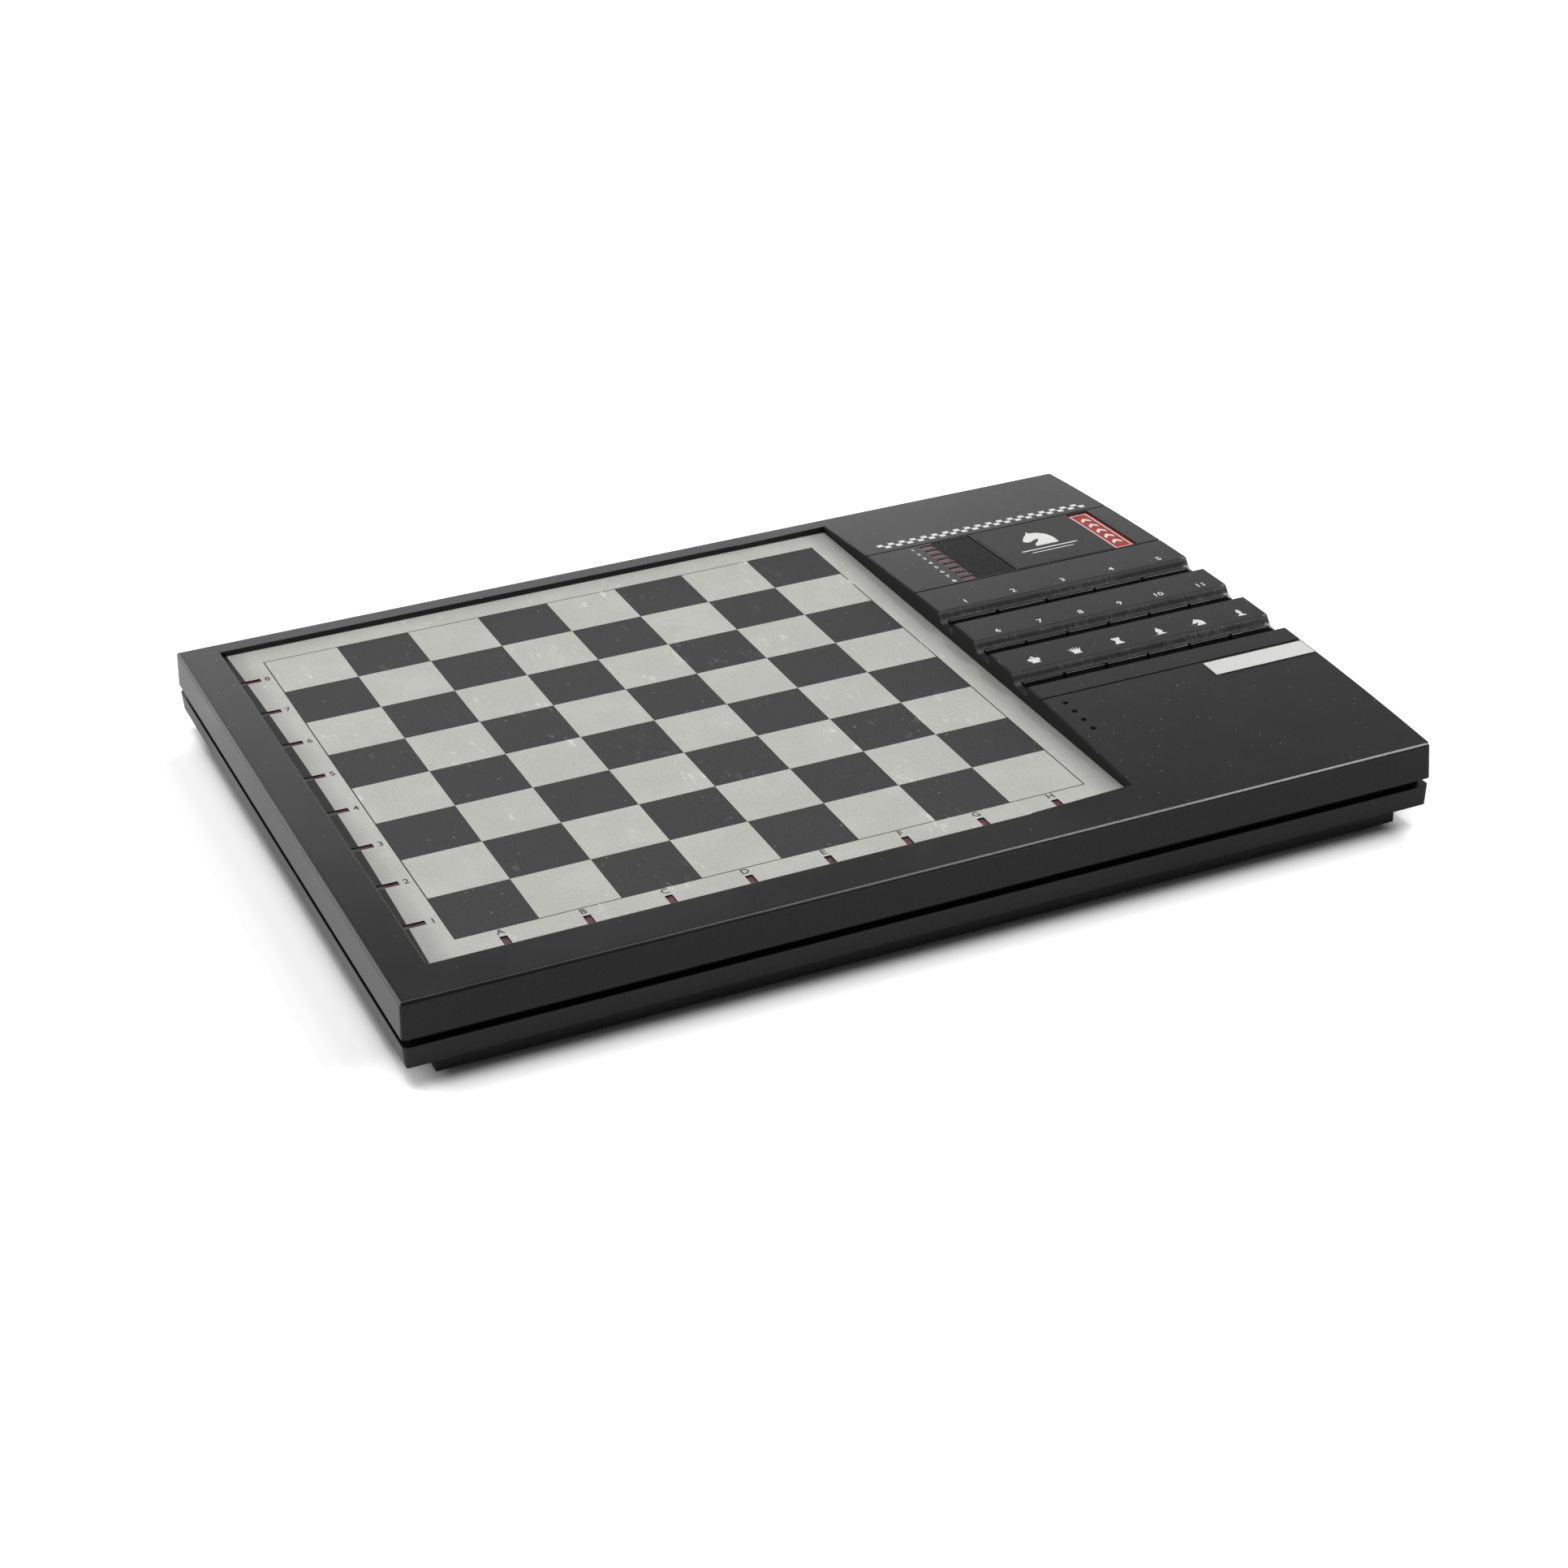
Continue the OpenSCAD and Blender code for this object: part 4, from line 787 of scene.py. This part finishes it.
# %% [markdown]
# ## Plain ornaments on the console
# Three fields of the console carry a printed ornament of simple shapes: a chequered band across the
# back, a knight over two bars on the smooth cover plate, and a frame with five chevrons on the red
# label. They have straight edges, so their corners are typed once in millimetres, and each becomes one
# face. The long edges are subdivided, because a face without vertices between its ends couldn't follow
# the arch.

# %% Flat shapes
LONG_EDGE, CUTS = 8 * MM, 15


def slab(x0, x1, y0, y1):
    """Four corners of a flat rectangle, in millimetres."""
    return [(x0, y0), (x1, y0), (x1, y1), (x0, y1)]


def flat_mesh(shapes):
    """Flat polygons in millimetres, level with the ink's top and anticlockwise, so that they face up."""
    bm = bmesh.new()
    for shape in shapes:
        bm.faces.new([bm.verts.new((x * MM, y * MM, INK)) for x, y in shape])
    long_edges = [e for e in bm.edges if e.calc_length() > LONG_EDGE]
    bmesh.ops.subdivide_edges(bm, edges=long_edges, cuts=CUTS)
    mesh = bpy.data.meshes.new("flat")
    bm.to_mesh(mesh)
    bm.free()
    return mesh


print("edges over", LONG_EDGE / MM, "mm are cut", CUTS, "times")

# %% Band, knight, frame and chevrons
BAND_STEP, BAND_COLUMNS, BAND_ROWS = 2.4, 38, 2
BAND_PLACE = (86.5 * MM, 93.2 * MM)
FRAME_W, FRAME_H, FRAME_LINE = 7.4, 38.4, 0.5
CHEVRON_FIRST, CHEVRON_STEP = 4.5, 6.3
BARS_Y, KNIGHT_Y, KNIGHT_HEIGHT = -7 * MM, 4 * MM, 15 * MM
PLATE_LIFT, LABEL_LIFT, LABEL_INSET = 0.1 * MM, -0.77 * MM, 1.3 * MM

band = [slab(i * BAND_STEP, (i + 1) * BAND_STEP, row * BAND_STEP, (row + 1) * BAND_STEP)
        for i in range(BAND_COLUMNS) for row in range(BAND_ROWS) if (i + row) % 2]
bars = [slab(-12, 12, 0, 0.9), slab(-9, 9, -2.6, -2.0)]
inner_w, inner_h = FRAME_W - FRAME_LINE, FRAME_H - FRAME_LINE
frame_lines = [slab(0, FRAME_W, 0, FRAME_LINE), slab(0, FRAME_W, inner_h, FRAME_H),
               slab(0, FRAME_LINE, FRAME_LINE, inner_h), slab(inner_w, FRAME_W, FRAME_LINE, inner_h)]
chevrons = []
for i in range(5):
    y = CHEVRON_FIRST + i * CHEVRON_STEP
    chevrons.append([(1.8, y), (3.7, y + 2.2), (5.6, y),
                     (5.6, y + 2.2), (3.7, y + 4.4), (1.8, y + 2.2)])

accent_low, accent_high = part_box("accent_label")
cover_low, cover_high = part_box("cover_plate")
cover_x, cover_y = (cover_low.x + cover_high.x) / 2, (cover_low.y + cover_high.y) / 2
accent_x = (accent_low.x + accent_high.x) / 2
frame_x, frame_y = accent_x - FRAME_W / 2 * MM, accent_low.y + LABEL_INSET
knight = outline_mesh(MEN["knight"], KNIGHT_HEIGHT)
ornaments = [lay_on_hump(flat_mesh(band), *BAND_PLACE),
             lay_on_hump(flat_mesh(bars), cover_x, cover_y + BARS_Y, PLATE_LIFT),
             lay_on_hump(knight, cover_x, cover_y + KNIGHT_Y, PLATE_LIFT),
             lay_on_hump(flat_mesh(frame_lines + chevrons), frame_x, frame_y, LABEL_LIFT)]
print("ornaments on 3 fields, the band of", len(band), "squares")
new_piece("console_ornaments", gather(ornaments), ink_white)

# %% [markdown]
# ## Floor
# The machine stands on a white table that has no end. A lit plane alone would turn grey where the
# lamps' light fades, and stronger lamps would grey the black case. So the floor gives a little light of
# its own, and only to rays that come from the camera or from a glossy face. More of it near the machine
# is painted light that keeps the shadow short in front and at the corners.

# %% Floor
FLOOR_HALF = 6
TO_BOUNCE, TO_GLOSS, TO_CAMERA = (0.8, 0.8, 0.8), (0.9, 0.9, 0.9), (1.2, 1.2, 1.2)
FRONT_FILL, NEAR_FILL, FAR_FILL = 0.26, 0.3, 0.9
half_x, half_y = cad_box[1][0], cad_box[1][1]


def pale_floor():
    """White to the camera and greyer to other rays; painted light keeps its soft shadow short."""
    f = Finish("pale_floor", Roughness=0.9, Specular_IOR_Level=0.1)
    camera_ray, glossy_ray = f.make("LightPath", out=0), f.make("LightPath", out=3)
    shade = colour_mix(TO_BOUNCE, TO_GLOSS, glossy_ray)
    f.put("Base Color", colour_mix(shade, TO_CAMERA, camera_ray))
    f.put("Emission Strength", 1.0)
    seen = f.math("MAXIMUM", camera_ray, glossy_ray)
    x, y = f.axis(0), f.axis(1)
    far = f.math("MAXIMUM", abs(x) - half_x, abs(y) - half_y)
    # painted light close to the machine lifts its shadow: in front and behind, and at its corners, most
    # at the right ones
    front = (abs(y) - half_y).wave(-0.005, 0.004) * FRONT_FILL
    corner = abs(x).wave(0.17, 0.184) * abs(y).wave(0.11, 0.135) * (x.wave(-0.1, 0.1) * 0.3 + 0.3)
    # further out: a little light, full at half a metre, and the far floor's white, full at 2.4 m
    near_fill, far_fill = far.wave(0.02, 0.5) * NEAR_FILL, far.wave(0.6, 2.4) * FAR_FILL
    fill = seen * near_fill + camera_ray * (front + corner + far_fill)
    f.put("Emission Color", f.make("CombineColor", i0=fill, i1=fill, i2=fill))
    return f.material


bm = bmesh.new()
bmesh.ops.create_grid(bm, x_segments=1, y_segments=1, size=FLOOR_HALF)
floor_mesh = bpy.data.meshes.new("floor")
bm.to_mesh(floor_mesh)
bm.free()
floor = bpy.data.objects.new("floor", floor_mesh)
floor_mesh.materials.append(pale_floor())
bpy.context.scene.collection.objects.link(floor)
print("floor of", 2 * FLOOR_HALF, "m")

# %% [markdown]
# ## Lamps
# A big soft box hangs above and a little behind the machine and gives the wide, even light. Two strips
# high on the right, one bright and one weak, draw the thin line along the rounded front edge: a rounded
# edge mirrors only a narrow part of the room, so a narrow lamp in that part shows as a line. Point
# lamps would draw hard dots there instead.

# %% Lamps
LAMPS = {
    "top_softbox": ((-0.55, 0.8, 3.85), (1.8, 2.6), 104),
    "right_strip": ((2.15, -0.1, 3.3), (3.2, 0.35), 34),
    "middle_strip": ((1.45, -0.1, 3.6), (3.2, 0.6), 11),
}


def soft_lamp(name, place, size, power):
    """A rectangular lamp that is aimed at the machine."""
    data = bpy.data.lights.new(name, "AREA")
    data.shape, data.energy = "RECTANGLE", power
    data.size, data.size_y = size
    lamp = bpy.data.objects.new(name, data)
    lamp.location = place
    lamp.rotation_euler = (-Vector(place)).to_track_quat("-Z", "Y").to_euler()
    bpy.context.scene.collection.objects.link(lamp)
    print(name, power, "W")


for name, settings in LAMPS.items():
    soft_lamp(name, *settings)

# %% [markdown]
# ## Backdrop
# Smooth black plastic shows what stands behind it more than any lamp. A low bright backdrop lights the
# faces that are seen at a glancing angle, and the rest of the room is dim, so that black stays black.
# The camera sees none of this: the world answers its rays with plain white.

# %% World
BACKDROP_LIGHT, ROOM_LIGHT = 1.9, 0.09
BEHIND, HIGH, RIGHT = (-0.2, 0.6), (0.375, 0.495), (0.28, 0.42)


def backdrop_light():
    """White for the camera; for the machine, bright low down behind it and dim elsewhere."""
    world = bpy.data.worlds.new("studio")
    bpy.context.scene.world = world
    world.use_nodes = True
    sky = Flow(world.node_tree)
    way = sky.make("TexCoord", out=0)
    behind = sky.make("SeparateXYZ", out=1, Vector=way).wave(*BEHIND)
    low = 1 - sky.make("SeparateXYZ", out=2, Vector=way).wave(*HIGH)
    less_right = 1 - sky.make("SeparateXYZ", out=0, Vector=way).wave(*RIGHT) * 0.5
    seen = sky.make("LightPath", out=0)
    light = behind * low * less_right * BACKDROP_LIGHT + ROOM_LIGHT
    level = seen + (1 - seen) * light
    background = world.node_tree.nodes["Background"]
    world.node_tree.links.new(level.socket, background.inputs["Strength"])
    background.inputs["Color"].default_value = (1, 1, 1, 1)


backdrop_light()
bpy.context.scene.view_settings.view_transform = "Standard"
print("backdrop", BACKDROP_LIGHT, "room", ROOM_LIGHT)
